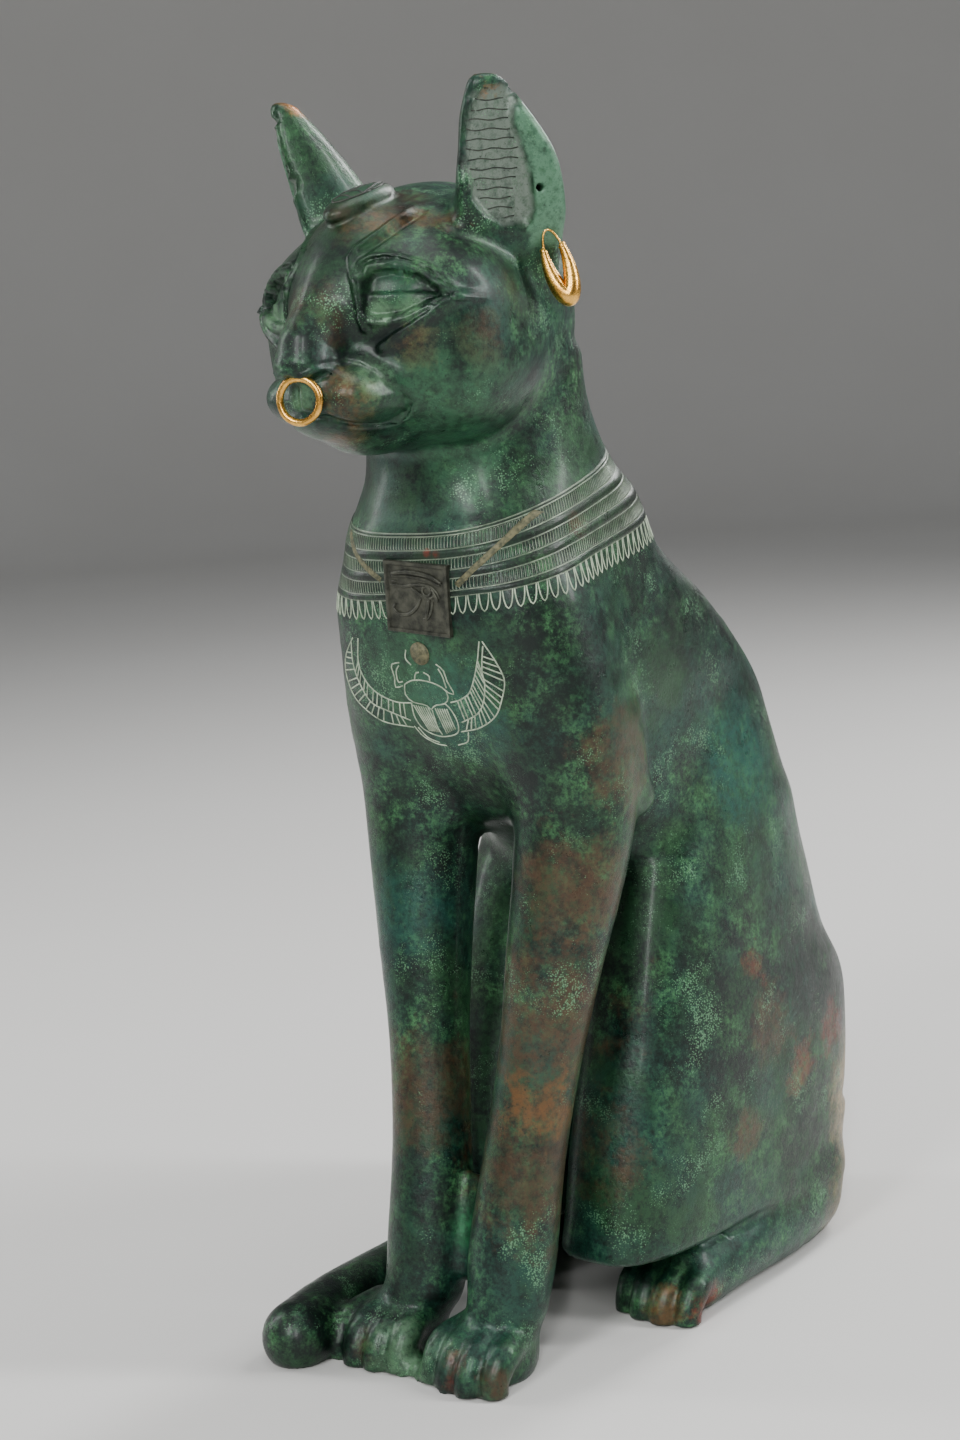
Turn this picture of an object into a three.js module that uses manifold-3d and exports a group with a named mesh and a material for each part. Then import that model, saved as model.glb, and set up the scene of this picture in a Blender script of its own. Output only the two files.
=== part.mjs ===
import * as THREE from 'three';
import { mergeVertices } from 'three/addons/utils/BufferGeometryUtils.js';
import Module from 'manifold-3d';

// A seated cat in hollow-cast bronze, with gold rings and a silver pendant.
// Millimetres, +Z up. The cat looks along -Y, its left side is +X, and it sits on the ground at z = 0.

// Driving dimensions
const HEIGHT = 420;
const FIT_CLEARANCE = 0.3;

// Nose ring: a round gold wire that hangs through the nose
const NOSE_RING_DIAMETER = 15.6;
const NOSE_RING_WIRE = 2.3;

// Ear rings: a gold crescent whose thin ends pass through the edge of the ear
const EARRING_HEIGHT = 25;
const EARRING_SPAN = 6.4;
const EARRING_BELLY = 7;
const EARRING_WIRE = 1.2;
const EAR_PIERCING = 2.6;

// Pendant: a silver plaque with a raised eye, let into the chest
const PLAQUE_WIDTH = 26;
const PLAQUE_HEIGHT = 23.4;
const PLAQUE_THICKNESS = 3.4;
const PLAQUE_PROUD = 1;
const PLAQUE_FRAME = 1.5;
const PLAQUE_RELIEF = 0.6;

// Inlays in the chest: the pendant's two cord strips and the disc over the engraved scarab
const CORD_WIDTH = 2.2;
const CORD_DEPTH = 1.5;
const SUN_DISC_DIAMETER = 7.6;
const SUN_DISC_DEPTH = 2;
const INLAY_PROUD = 0.25;

// The free form is laid out on a grid of 420 units to the height, so it keeps its proportions
const GRID_UNITS = 420;
const UNIT = HEIGHT / GRID_UNITS;

// The part's origin lies under the seat: this many grid units behind the form's own, on its ground level
const SEAT_MIDDLE = 50;
const GROUND_LEVEL = 2.2;

// Field helpers: each shape is a function of a point that is negative inside.
// Further away than this from a shape, its distance need not be exact.
const FAR = 24;

function ellipsoid(at, radii, turn = [0, 0, 0]) {
  const back = new THREE.Matrix3().setFromMatrix4(
    new THREE.Matrix4().makeRotationFromEuler(new THREE.Euler(...turn, 'XYZ')),
  ).transpose().elements;
  const [rx, ry, rz] = radii;
  return (x, y, z) => {
    const dx = x - at[0];
    const dy = y - at[1];
    const dz = z - at[2];
    const px = (back[0] * dx + back[3] * dy + back[6] * dz) / rx;
    const py = (back[1] * dx + back[4] * dy + back[7] * dz) / ry;
    const pz = (back[2] * dx + back[5] * dy + back[8] * dz) / rz;
    const reach = Math.sqrt(px * px + py * py + pz * pz);
    const slope = Math.sqrt((px / rx) ** 2 + (py / ry) ** 2 + (pz / rz) ** 2);
    return slope < 1e-9 ? -Math.min(rx, ry, rz) : reach * (reach - 1) / slope;
  };
}

function limb(from, to, fromRadius, toRadius) {
  const bx = to[0] - from[0];
  const by = to[1] - from[1];
  const bz = to[2] - from[2];
  const lengthSquared = bx * bx + by * by + bz * bz;
  return (x, y, z) => {
    const dx = x - from[0];
    const dy = y - from[1];
    const dz = z - from[2];
    const along = Math.min(1, Math.max(0, (dx * bx + dy * by + dz * bz) / lengthSquared));
    const away = Math.hypot(dx - bx * along, dy - by * along, dz - bz * along);
    return away - fromRadius - (toRadius - fromRadius) * along;
  };
}

// Round limbs end to end along a smooth curve through the knots, each knot a place and a radius
const LINKS_TO_A_KNOT = 3;

function chain(knots) {
  const rows = knots.map((knot, i) => [i, ...knot]);
  const count = (knots.length - 1) * LINKS_TO_A_KNOT;
  const stops = Array.from({ length: count + 1 }, (_, i) => (
    [1, 2, 3, 4].map((column) => smoothColumn(rows, column, i / LINKS_TO_A_KNOT))
  ));
  const links = stops.slice(1).map((stop, i) => limb(stops[i], stop, stops[i][3], stop[3]));
  const middle = [0, 1, 2].map((axis) => {
    const values = stops.map((stop) => stop[axis]);
    return (Math.min(...values) + Math.max(...values)) / 2;
  });
  const reach = Math.max(...stops.map((stop) => (
    Math.hypot(stop[0] - middle[0], stop[1] - middle[1], stop[2] - middle[2]) + stop[3]
  )));
  return (x, y, z) => {
    const away = Math.hypot(x - middle[0], y - middle[1], z - middle[2]) - reach;
    if (away > FAR) {
      return away;
    }
    let nearest = Infinity;
    for (const link of links) {
      nearest = Math.min(nearest, link(x, y, z));
    }
    return nearest;
  };
}

function clamped(value) {
  return Math.min(1, Math.max(0, value));
}

function blend(a, b, width) {
  const share = Math.max(width - Math.abs(a - b), 0) / width;
  return Math.min(a, b) - share * share * width / 4;
}

function smoothColumn(rows, column, at) {
  const last = rows.length - 1;
  if (at <= rows[0][0]) {
    return rows[0][column];
  }
  if (at >= rows[last][0]) {
    return rows[last][column];
  }
  let i = 0;
  while (rows[i + 1][0] < at) {
    i += 1;
  }
  const slopeAt = (k) => {
    const low = Math.max(k - 1, 0);
    const high = Math.min(k + 1, last);
    return (rows[high][column] - rows[low][column]) / (rows[high][0] - rows[low][0]);
  };
  const span = rows[i + 1][0] - rows[i][0];
  const t = (at - rows[i][0]) / span;
  const start = rows[i][column];
  const end = rows[i + 1][column];
  return start * (1 + 2 * t) * (1 - t) ** 2 + slopeAt(i) * span * t * (1 - t) ** 2
    + end * t * t * (3 - 2 * t) - slopeAt(i + 1) * span * t * t * (1 - t);
}

// A body of level slices, each a rounded oblong: height, front, back, inner side, outer side, squareness
function slices(rows, roundness) {
  const bottom = rows[0][0];
  const top = rows[rows.length - 1][0];
  const table = [];
  for (let level = bottom; level <= top; level += 1) {
    table.push([1, 2, 3, 4, 5].map((column) => smoothColumn(rows, column, level)));
  }
  return (x, y, z) => {
    const place = Math.min(Math.max(z - bottom, 0), table.length - 1.001);
    const low = table[Math.floor(place)];
    const high = table[Math.floor(place) + 1];
    const t = place - Math.floor(place);
    const [front, back, inner, outer, power] = low.map((value, i) => value + (high[i] - value) * t);
    const across = (outer - inner) / 2;
    const along = (back - front) / 2;
    const u = Math.abs(x - (inner + outer) / 2) / across;
    const v = Math.abs(y - (front + back) / 2) / along;
    const reach = (u ** power + v ** power) ** (1 / power);
    const side = (reach - 1) * Math.min(across, along);
    const cap = Math.max(bottom - z, z - top);
    return -blend(-side, -cap, roundness);
  };
}

// The same shape turned about an upright axis and leaning from its foot, both sides of the body alike
function leaning(shape, foot, lean, angle) {
  const cos = Math.cos(angle);
  const sin = Math.sin(angle);
  return (x, y, z) => {
    const dx = x - foot[0] - lean[0] * (z - foot[2]);
    const dy = y - foot[1] - lean[1] * (z - foot[2]);
    return shape(dx * cos + dy * sin, dy * cos - dx * sin, z);
  };
}

// Relief on the face: a soft line or almond as seen straight from the front

function frontLine(knots, width) {
  const strokes = knots.slice(1).map((knot, i) => [knots[i], knot]);
  return (x, z) => {
    let nearest = Infinity;
    for (const [[ax, az], [bx, bz]] of strokes) {
      const lengthSquared = (bx - ax) ** 2 + (bz - az) ** 2;
      const along = ((x - ax) * (bx - ax) + (z - az) * (bz - az)) / lengthSquared;
      const t = Math.min(1, Math.max(0, along));
      nearest = Math.min(nearest, Math.hypot(x - ax - t * (bx - ax), z - az - t * (bz - az)));
    }
    return Math.exp(-((nearest / width) ** 2));
  };
}

// A panel between an upper and a lower edge, 1 in the middle and 0 outside a soft rim
function frontPanel(top, bottom, rim) {
  const first = top[0][0];
  const last = top[top.length - 1][0];
  return (x, z) => {
    const aside = Math.min(x - first, last - x);
    if (aside <= 0) {
      return 0;
    }
    const room = Math.min(aside, smoothColumn(top, 1, x) - z, z - smoothColumn(bottom, 1, x));
    return clamped(room / rim);
  };
}

// Trunk and neck, from the seat to inside the skull
const trunk = slices([
  [-4, 18, 94, -32, 32, 2.6],
  [30, 12, 103, -38, 38, 2.6],
  [50, -6, 109, -45, 45, 2.6],
  [70, -9, 113, -47, 47, 2.5],
  [100, -11, 115.5, -48, 48, 2.4],
  [120, -13, 110, -46.5, 46.5, 2.3],
  [140, -15, 106, -46, 46, 2.3],
  [160, -20, 103, -45, 45, 2.2],
  [172, -33, 101, -45.5, 45.5, 2.2],
  [182, -52, 98, -45, 45, 2.2],
  [195, -62, 93, -45, 45, 2.3],
  [212, -72, 82.5, -45.3, 45.3, 2.6],
  [230, -80, 61.5, -46.2, 46.2, 3.2],
  [250, -84.5, 37.5, -45.8, 45.8, 3.5],
  [262, -86, 22, -44.8, 44.8, 3.3],
  [270, -86.5, 14, -44, 44, 3.1],
  [282, -85.5, 10, -43, 43, 2.8],
  [290, -82.5, 7.5, -41.8, 41.8, 2.5],
  [300, -81.5, 1, -39.5, 39.5, 2.1],
  [320, -82, -8, -37.3, 37.3, 2],
  [338, -84, -10.5, -37.3, 37.3, 2],
], 4);

// Folded hind leg: thigh and knee above its flat underside
const thigh = slices([
  [29, -51.5, 90, 5, 54, 3.2],
  [45, -48, 95, 5, 55, 3.1],
  [62, -44, 100, 4, 56, 3],
  [92, -36, 102, 4, 56.5, 2.8],
  [104, -32, 99, 4, 56, 2.8],
  [120, -28, 89, 4, 54.5, 2.7],
  [150, -18, 80, 4, 52, 2.5],
  [175, -7, 75.5, 4, 49.5, 2.3],
  [198, 7, 67, 4, 45.5, 2.2],
  [216, 18, 58, 4, 40, 2.2],
  [236, 28, 46, 4, 30, 2.2],
], 3);

const seat = slices([
  [-4, 22, 88, 2, 45, 3],
  [12, 20, 93, 2, 47.5, 3],
  [34, 14, 96, 2, 50, 3],
  [48, 14, 99, 2, 51, 3],
], 3);

const hindFoot = chain([
  [38, 75, 14, 12.5],
  [41, 50, 14, 13],
  [41, 18, 15.5, 13.8],
  [39, -6, 13.5, 14.4],
]);

// Above the heel the foot runs smoothly into the flank
const hock = limb([41, 24, 21], [39, 73, 26], 9.5, 14);

const foreleg = chain([
  [27, -57, 254, 21],
  [30, -51, 224, 23.5],
  [33, -47, 194, 20.8],
  [31.4, -50.5, 168, 18.8],
  [27.8, -57, 138, 16.2],
  [24, -63, 106, 13.9],
  [20, -70, 72, 13.7],
  [17.8, -76.5, 42, 14.8],
  [18, -81, 26, 13.6],
]);

const elbow = chain([
  [35, -38, 214, 16],
  [38, -34, 199, 13],
  [42.5, -29, 189.5, 8],
]);

// The paws stand a little to the right of the middle
const PAWS_ASIDE = 5;
const forepaw = ellipsoid([20, -88, 9], [15.5, 17, 13.5]);

// Four toes side by side at the front of a paw
function toes(middle, front, knuckle) {
  const offsets = [-12.4, -4.6, 3.8, 12];
  const setBacks = [3, 0.5, 0, 3];
  const rows = offsets.map((offset, i) => {
    const x = middle + offset;
    const y = front + setBacks[i];
    return chain([
      [middle + offset * 0.8, y + 18, knuckle + 4, 5],
      [x, y + 7, knuckle + 1.5, 5.4],
      [x, y + 1.5, knuckle - 5, 5],
      [x, y + 1, 1, 4.8],
    ]);
  });
  return (x, y, z) => rows.reduce((nearest, toe) => blend(nearest, toe(x, y, z), 1.2), Infinity);
}

const foreToes = toes(20.5, -107, 12.5);
const hindToes = toes(37.5, -27, 12);

// A low web of metal joins the paws in front and the legs behind
const pawWeb = limb([0, -101, 1], [12, -100, 1], 6, 7);
const legWeb = limb([0, -77, 32], [0, -71, 62], 4, 2.5);

// The tail lies along the right side and ends in a round tip by the right paw
const tail = chain([
  [-38, 86, 16, 15],
  [-53, 72, 12, 12.5],
  [-61, 48, 10, 10.5],
  [-63, 5, 9.5, 10],
  [-61, -45, 9.5, 10.4],
  [-55.5, -86, 10.5, 11.6],
  [-50, -112.5, 10, 12.4],
]);

const skull = ellipsoid([0, -61.5, 349.5], [41, 50, 43.5]);
const brow = ellipsoid([0, -85, 356], [43.5, 33, 25]);
const cheek = ellipsoid([22.5, -80, 336.5], [21, 27.5, 23]);
const muzzle = ellipsoid([0, -105, 328.5], [22.5, 25.5, 16]);
const lobe = ellipsoid([12, -110, 328.3], [11.5, 17.8, 9.4]);
const chin = ellipsoid([0, -97, 316.5], [14, 14.5, 8]);
const noseBridge = limb([0, -96, 373], [0, -125.5, 344], 13, 8.2);
const noseTip = ellipsoid([0, -128.3, 338.4], [8.2, 7.2, 4.8]);

// The ear: half round behind, with an open face turned outward, and a hollow in that face.
// The rows give a level and, in the ear's own frame, the face or the hollow's inner and outer edge.
const EAR_FOOT = [31, -58.8, 370];
const EAR_LEAN = [0.222, -0.47];
const EAR_TURN = 50 * Math.PI / 180;
const HOLLOW_DEPTH = 3.4;
const HOLLOW_SLOPE = 3.6;
const HOLLOW_FOLD = 1.6;
const onEar = (shape) => leaning(shape, EAR_FOOT, EAR_LEAN, EAR_TURN);
const earBack = slices([
  [344, -22, 8.4, -14, 6.7, 2],
  [358, -30, 10.2, -18, 9.8, 2.1],
  [370, -36, 12, -19.6, 12.8, 2.2],
  [380, -38, 13, -18.5, 15.7, 2.2],
  [392, -34, 12.6, -15.7, 16.7, 2.2],
  [400, -29, 11.3, -13.3, 15.5, 2.2],
  [409, -22, 8.9, -10.8, 11.5, 2.2],
  [417, -13.5, 5.9, -7.2, 7.1, 2.2],
  [421.5, -9, 4.1, -4.8, 4.2, 2.2],
], 3);
const EAR_FACE = [
  [344, -7.7], [358, -12], [370, -14.1], [380, -14.7], [392, -12.3], [400, -10.3], [409, -7.8], [417, -4.7],
  [421.5, -3.7],
];
const HOLLOW_INNER = [
  [375.6, 0], [376.3, -3.2], [377.5, -7.4], [379.5, -11.4], [384.6, -14.4], [393.4, -14.1], [403.4, -12.1],
  [411, -8.8], [414.5, -6.6], [416.6, -3.8], [418.4, 1.8],
];
const HOLLOW_OUTER = [
  [375.6, 2], [376.5, 3.8], [381, 5.8], [390.6, 7], [399.5, 6.3], [407, 5.2], [409, 5.9], [412.5, 7.2],
  [416.2, 6], [418.4, 1.8],
];

const ear = onEar((x, y, z) => {
  const inner = clamped((x - smoothColumn(HOLLOW_INNER, 1, z)) / HOLLOW_SLOPE);
  const outer = clamped((smoothColumn(HOLLOW_OUTER, 1, z) - x) / HOLLOW_FOLD);
  const face = y - smoothColumn(EAR_FACE, 1, z) - HOLLOW_DEPTH * inner * outer;
  return -blend(-earBack(x, y, z), face, 4);
});

// The face relief fades out over this stretch, on the way round to the cheeks
const FACE_EDGE = -84;
const FACE_FADE = 10;

const crownScarab = ellipsoid([0, -96, 386.5], [7.5, 15.5, 4.5], [0.3, 0, 0]);
const EYE_DEPTH = 3.2;
const eyeRecess = frontPanel([
  [15.2, 361.8], [17.3, 364.8], [22.6, 365.6], [29.7, 363.4], [32.8, 361.2], [37.2, 356.2],
], [
  [15.2, 352.6], [17, 351.4], [22.7, 351], [29.8, 353], [33, 354.6], [37.2, 356.2],
], 1.5);

// Ridges and grooves of the face, each with the height it rises or the depth it sinks
const RIDGES = [
  [1.2, frontLine([
    [13.8, 388], [16.7, 381.7], [15.2, 377.4], [11.2, 372.5], [10.8, 369.6], [13.7, 362.5], [15.4, 352.2],
    [15.3, 347.7],
  ], 1.2)],
  [1.4, frontLine([
    [14.4, 361], [15, 366.5], [19.8, 368.8], [28.7, 366.7], [36.6, 360.8], [42.5, 354.8],
  ], 1.5)],
  [1, frontLine([[15, 351], [18, 349.4], [23.5, 349.2], [31, 351.6], [35, 354]], 1.4)],
  [1.8, frontLine([[41.5, 355.8], [34.8, 351], [30.2, 347.9], [20.2, 342]], 1.6)],
  [0.9, frontLine([[0.5, 336.6], [3.8, 335.1], [8.9, 337]], 1.3)],
];
const GROOVES = [
  [1.6, frontLine([
    [0, 323.6], [7.7, 322.4], [12.5, 319.7], [17.7, 319.9], [22.2, 323.4], [23.3, 325.6],
  ], 1.4)],
  [0.8, frontLine([[0, 323.6], [0, 332]], 1.3)],
  [1.1, frontLine([[3.4, 333.2], [9.2, 335.2]], 1.3)],
  [1, frontLine([[10.4, 338], [18.4, 334.5], [23, 328.8], [24, 325.6]], 1.4)],
];

function catForm(x, y, z) {
  const side = Math.abs(x);
  let body = trunk(side, y, z);
  if (z < 240) {
    body = blend(body, thigh(side, y, z), 7);
    if (z < 70) {
      body = blend(body, seat(side, y, z), 5);
      body = blend(body, blend(hindFoot(side, y, z), hindToes(side, y, z), 3), 3);
      body = blend(body, hock(side, y, z), 8);
    }
  }
  if (z < 295) {
    body = blend(blend(body, foreleg(side, y, z), 9), elbow(side, y, z), 4);
  }
  if (z < 80) {
    const aside = Math.abs(x + PAWS_ASIDE);
    const paw = blend(blend(foreleg(side, y, z), forepaw(aside, y, z), 7), foreToes(aside, y, z), 2.5);
    body = Math.min(body, paw);
    body = blend(body, pawWeb(side, y, z), 4);
    body = blend(body, legWeb(side, y, z), 6);
    body = blend(body, tail(x, y, z), 4);
  }
  if (z > 285) {
    body = blend(body, headForm(side, y, z), 5);
  }
  return body;
}

function headForm(x, y, z) {
  let head = blend(skull(x, y, z), brow(x, y, z), 10);
  head = blend(head, cheek(x, y, z), 12);
  const lobes = blend(muzzle(x, y, z), lobe(x, y, z), 2.5);
  head = blend(head, blend(lobes, chin(x, y, z), 5), 8);
  head = blend(head, noseBridge(x, y, z), 8);
  head = blend(head, noseTip(x, y, z), 4);
  const facing = clamped((FACE_EDGE - y) / FACE_FADE);
  if (facing > 0) {
    let relief = EYE_DEPTH * eyeRecess(x, z);
    for (const [height, line] of RIDGES) {
      relief -= height * line(x, z);
    }
    for (const [depth, line] of GROOVES) {
      relief += depth * line(x, z);
    }
    head += facing * relief;
  }
  head = blend(head, crownScarab(x, y, z), 1.5);
  return blend(head, ear(x, y, z), 6);
}

// Marching the form: a net of points, one to each cell that the surface crosses

const BODY_STEP = 3;
const HEAD_STEP = 1.9;
const NECK_LEVEL = 296;
const BLOCK = 6;

// Where two inside corners meet only across a square of the grid, a third is moved barely inside
const BARELY_INSIDE = 0.01;

function gridLine(from, to, step) {
  const count = Math.ceil((to - from) / step);
  return Array.from({ length: count + 1 }, (_, i) => from + i * (to - from) / count);
}

function surfaceNet(form, xs, ys, zs) {
  const [nx, ny, nz] = [xs.length, ys.length, zs.length];
  const values = new Float32Array(nx * ny * nz).fill(1);
  const at = (i, j, k) => (k * ny + j) * nx + i;
  for (let k0 = 0; k0 < nz; k0 += BLOCK) {
    for (let j0 = 0; j0 < ny; j0 += BLOCK) {
      for (let i0 = 0; i0 < nx; i0 += BLOCK) {
        const i1 = Math.min(i0 + BLOCK, nx) - 1;
        const j1 = Math.min(j0 + BLOCK, ny) - 1;
        const k1 = Math.min(k0 + BLOCK, nz) - 1;
        const half = [(xs[i1] - xs[i0]) / 2, (ys[j1] - ys[j0]) / 2, (zs[k1] - zs[k0]) / 2];
        const middle = form(xs[i0] + half[0], ys[j0] + half[1], zs[k0] + half[2]);
        const far = Math.abs(middle) > 1.5 * Math.hypot(...half) + 4;
        for (let k = k0; k <= k1; k += 1) {
          for (let j = j0; j <= j1; j += 1) {
            for (let i = i0; i <= i1; i += 1) {
              values[at(i, j, k)] = far ? middle : form(xs[i], ys[j], zs[k]);
            }
          }
        }
      }
    }
  }
  const strides = [1, nx, nx * ny];
  const directions = [[0, 1], [0, 2], [1, 2]];
  for (let mended = true; mended;) {
    mended = false;
    for (const [first, second] of directions) {
      for (let n = 0; n + strides[first] + strides[second] < values.length; n += 1) {
        const square = [n, n + strides[first], n + strides[second], n + strides[first] + strides[second]];
        const [p, q, r, s] = square.map((corner) => values[corner] < 0);
        if (p === s && q === r && p !== q) {
          values[p ? square[1] : square[0]] = -BARELY_INSIDE;
          mended = true;
        }
      }
    }
  }
  const points = [];
  const pointOfCell = new Int32Array(nx * ny * nz).fill(-1);
  const corners = [[0, 0, 0], [1, 0, 0], [0, 1, 0], [1, 1, 0], [0, 0, 1], [1, 0, 1], [0, 1, 1], [1, 1, 1]];
  const edges = [[0, 1], [2, 3], [4, 5], [6, 7], [0, 2], [1, 3], [4, 6], [5, 7], [0, 4], [1, 5], [2, 6], [3, 7]];
  for (let k = 0; k < nz - 1; k += 1) {
    for (let j = 0; j < ny - 1; j += 1) {
      for (let i = 0; i < nx - 1; i += 1) {
        const v = corners.map(([a, b, c]) => values[at(i + a, j + b, k + c)]);
        const inside = v.filter((value) => value < 0).length;
        if (inside === 0 || inside === 8) {
          continue;
        }
        const sum = [0, 0, 0];
        let crossings = 0;
        for (const [p, q] of edges) {
          if ((v[p] < 0) !== (v[q] < 0)) {
            const t = v[p] / (v[p] - v[q]);
            const [a, b] = [corners[p], corners[q]];
            sum[0] += xs[i + a[0]] + t * (xs[i + b[0]] - xs[i + a[0]]);
            sum[1] += ys[j + a[1]] + t * (ys[j + b[1]] - ys[j + a[1]]);
            sum[2] += zs[k + a[2]] + t * (zs[k + b[2]] - zs[k + a[2]]);
            crossings += 1;
          }
        }
        pointOfCell[at(i, j, k)] = points.length;
        points.push(sum.map((value) => value / crossings));
      }
    }
  }
  const faces = [];
  const addQuad = (quad, flip) => {
    const [a, b, c, d] = flip ? [...quad].reverse() : quad;
    const gap = (p, q) => Math.hypot(...points[p].map((value, n) => value - points[q][n]));
    if (gap(a, c) < gap(b, d)) {
      faces.push([a, b, c], [a, c, d]);
    } else {
      faces.push([a, b, d], [b, c, d]);
    }
  };
  for (let k = 1; k < nz - 1; k += 1) {
    for (let j = 1; j < ny - 1; j += 1) {
      for (let i = 1; i < nx - 1; i += 1) {
        const inside = values[at(i, j, k)] < 0;
        const cell = (a, b, c) => pointOfCell[at(i - a, j - b, k - c)];
        if (inside !== values[at(i + 1, j, k)] < 0) {
          addQuad([cell(0, 1, 1), cell(0, 0, 1), cell(0, 0, 0), cell(0, 1, 0)], !inside);
        }
        if (inside !== values[at(i, j + 1, k)] < 0) {
          addQuad([cell(1, 0, 1), cell(1, 0, 0), cell(0, 0, 0), cell(0, 0, 1)], !inside);
        }
        if (inside !== values[at(i, j, k + 1)] < 0) {
          addQuad([cell(1, 1, 0), cell(0, 1, 0), cell(0, 0, 0), cell(1, 0, 0)], !inside);
        }
      }
    }
  }
  return { points, faces };
}

// Thinning the net: edges are folded up, cheapest first, as long as the surface hardly moves

function planeOf(a, b, c) {
  const u = [b[0] - a[0], b[1] - a[1], b[2] - a[2]];
  const v = [c[0] - a[0], c[1] - a[1], c[2] - a[2]];
  const n = [u[1] * v[2] - u[2] * v[1], u[2] * v[0] - u[0] * v[2], u[0] * v[1] - u[1] * v[0]];
  const size = Math.hypot(...n) || 1e-12;
  const normal = n.map((value) => value / size);
  return { normal, area: size / 2, offset: -(normal[0] * a[0] + normal[1] * a[1] + normal[2] * a[2]) };
}

const LEAST_FACING = 0.35;
const LEAST_AREA = 1e-4;
const FURTHEST_MOVE = 1.5;

function thin({ points, faces }, target, weightAt) {
  const quadrics = points.map(() => new Float64Array(10));
  const around = points.map(() => new Set());
  const stamp = new Int32Array(points.length);
  faces.forEach((face, index) => {
    const { normal: [a, b, c], area, offset: d } = planeOf(...face.map((vertex) => points[vertex]));
    const weight = area * weightAt(points[face[0]]);
    const terms = [a * a, a * b, a * c, a * d, b * b, b * c, b * d, c * c, c * d, d * d];
    for (const vertex of face) {
      terms.forEach((term, n) => { quadrics[vertex][n] += term * weight; });
      around[vertex].add(index);
    }
  });
  const costAt = (q, [x, y, z]) => q[0] * x * x + 2 * q[1] * x * y + 2 * q[2] * x * z + 2 * q[3] * x
    + q[4] * y * y + 2 * q[5] * y * z + 2 * q[6] * y + q[7] * z * z + 2 * q[8] * z + q[9];
  const heap = [];
  const rise = (start) => {
    let n = start;
    while (n > 0) {
      const parent = (n - 1) >> 1;
      if (heap[parent].cost <= heap[n].cost) {
        break;
      }
      [heap[parent], heap[n]] = [heap[n], heap[parent]];
      n = parent;
    }
  };
  const takeCheapest = () => {
    const top = heap[0];
    const last = heap.pop();
    if (heap.length > 0) {
      heap[0] = last;
      let n = 0;
      for (;;) {
        const left = 2 * n + 1;
        const right = left + 1;
        let least = n;
        if (left < heap.length && heap[left].cost < heap[least].cost) {
          least = left;
        }
        if (right < heap.length && heap[right].cost < heap[least].cost) {
          least = right;
        }
        if (least === n) {
          break;
        }
        [heap[least], heap[n]] = [heap[n], heap[least]];
        n = least;
      }
    }
    return top;
  };
  const offer = (u, v) => {
    const q = quadrics[u].map((value, n) => value + quadrics[v][n]);
    const [a, b, c, d, e, f, g, h, i] = q;
    const det = a * (e * h - f * f) - b * (b * h - f * c) + c * (b * f - e * c);
    const [p, r] = [points[u], points[v]];
    const middle = [(p[0] + r[0]) / 2, (p[1] + r[1]) / 2, (p[2] + r[2]) / 2];
    const span = Math.hypot(p[0] - r[0], p[1] - r[1], p[2] - r[2]);
    let place = middle;
    if (Math.abs(det) > 1e-6 * (a + e + h) ** 3) {
      const x = -(d * (e * h - f * f) - b * (g * h - f * i) + c * (g * f - e * i)) / det;
      const y = -(a * (g * h - i * f) - d * (b * h - f * c) + c * (b * i - g * c)) / det;
      const z = -(a * (e * i - g * f) - b * (b * i - g * c) + d * (b * f - e * c)) / det;
      if (Math.hypot(x - middle[0], y - middle[1], z - middle[2]) < FURTHEST_MOVE * span) {
        place = [x, y, z];
      }
    }
    const cost = Math.max(costAt(q, place), 0) + 1e-7 * span * span;
    heap.push({ cost, u, v, place, stampU: stamp[u], stampV: stamp[v] });
    rise(heap.length - 1);
  };
  const neighbours = (vertex) => {
    const found = new Set();
    for (const index of around[vertex]) {
      faces[index].forEach((other) => found.add(other));
    }
    found.delete(vertex);
    return found;
  };
  points.forEach((_, u) => neighbours(u).forEach((v) => {
    if (u < v) {
      offer(u, v);
    }
  }));
  const keepsItsSide = (vertex, other, place) => [...around[vertex]].every((index) => {
    const face = faces[index];
    if (face.includes(other)) {
      return true;
    }
    const before = planeOf(...face.map((n) => points[n]));
    const after = planeOf(...face.map((n) => (n === vertex ? place : points[n])));
    const facing = before.normal[0] * after.normal[0] + before.normal[1] * after.normal[1]
      + before.normal[2] * after.normal[2];
    return facing > LEAST_FACING && after.area > LEAST_AREA;
  });
  let count = faces.length;
  while (count > target && heap.length > 0) {
    const { u, v, place, stampU, stampV } = takeCheapest();
    if (stamp[u] !== stampU || stamp[v] !== stampV || stampU < 0 || stampV < 0) {
      continue;
    }
    const beside = neighbours(v);
    const shared = [...neighbours(u)].filter((vertex) => beside.has(vertex));
    if (shared.length !== 2 || !keepsItsSide(u, v, place) || !keepsItsSide(v, u, place)) {
      continue;
    }
    points[u] = place;
    quadrics[v].forEach((value, n) => { quadrics[u][n] += value; });
    for (const index of [...around[v]]) {
      const face = faces[index];
      if (face.includes(u)) {
        face.forEach((vertex) => around[vertex].delete(index));
        faces[index] = null;
        count -= 1;
      } else {
        face[face.indexOf(v)] = u;
        around[u].add(index);
      }
    }
    around[v].clear();
    stamp[v] = -1;
    stamp[u] += 1;
    neighbours(u).forEach((vertex) => offer(u, vertex));
  }
  return { points, faces: faces.filter((face) => face !== null) };
}

function netGeometry({ points, faces }, scale) {
  const geometry = new THREE.BufferGeometry();
  const numbers = new Float32Array(points.length * 3);
  points.forEach((point, i) => numbers.set(point.map((value) => value * scale), i * 3));
  geometry.setAttribute('position', new THREE.BufferAttribute(numbers, 3));
  geometry.setIndex(faces.flat());
  return geometry;
}

const wasm = await Module();
wasm.setup();

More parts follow.
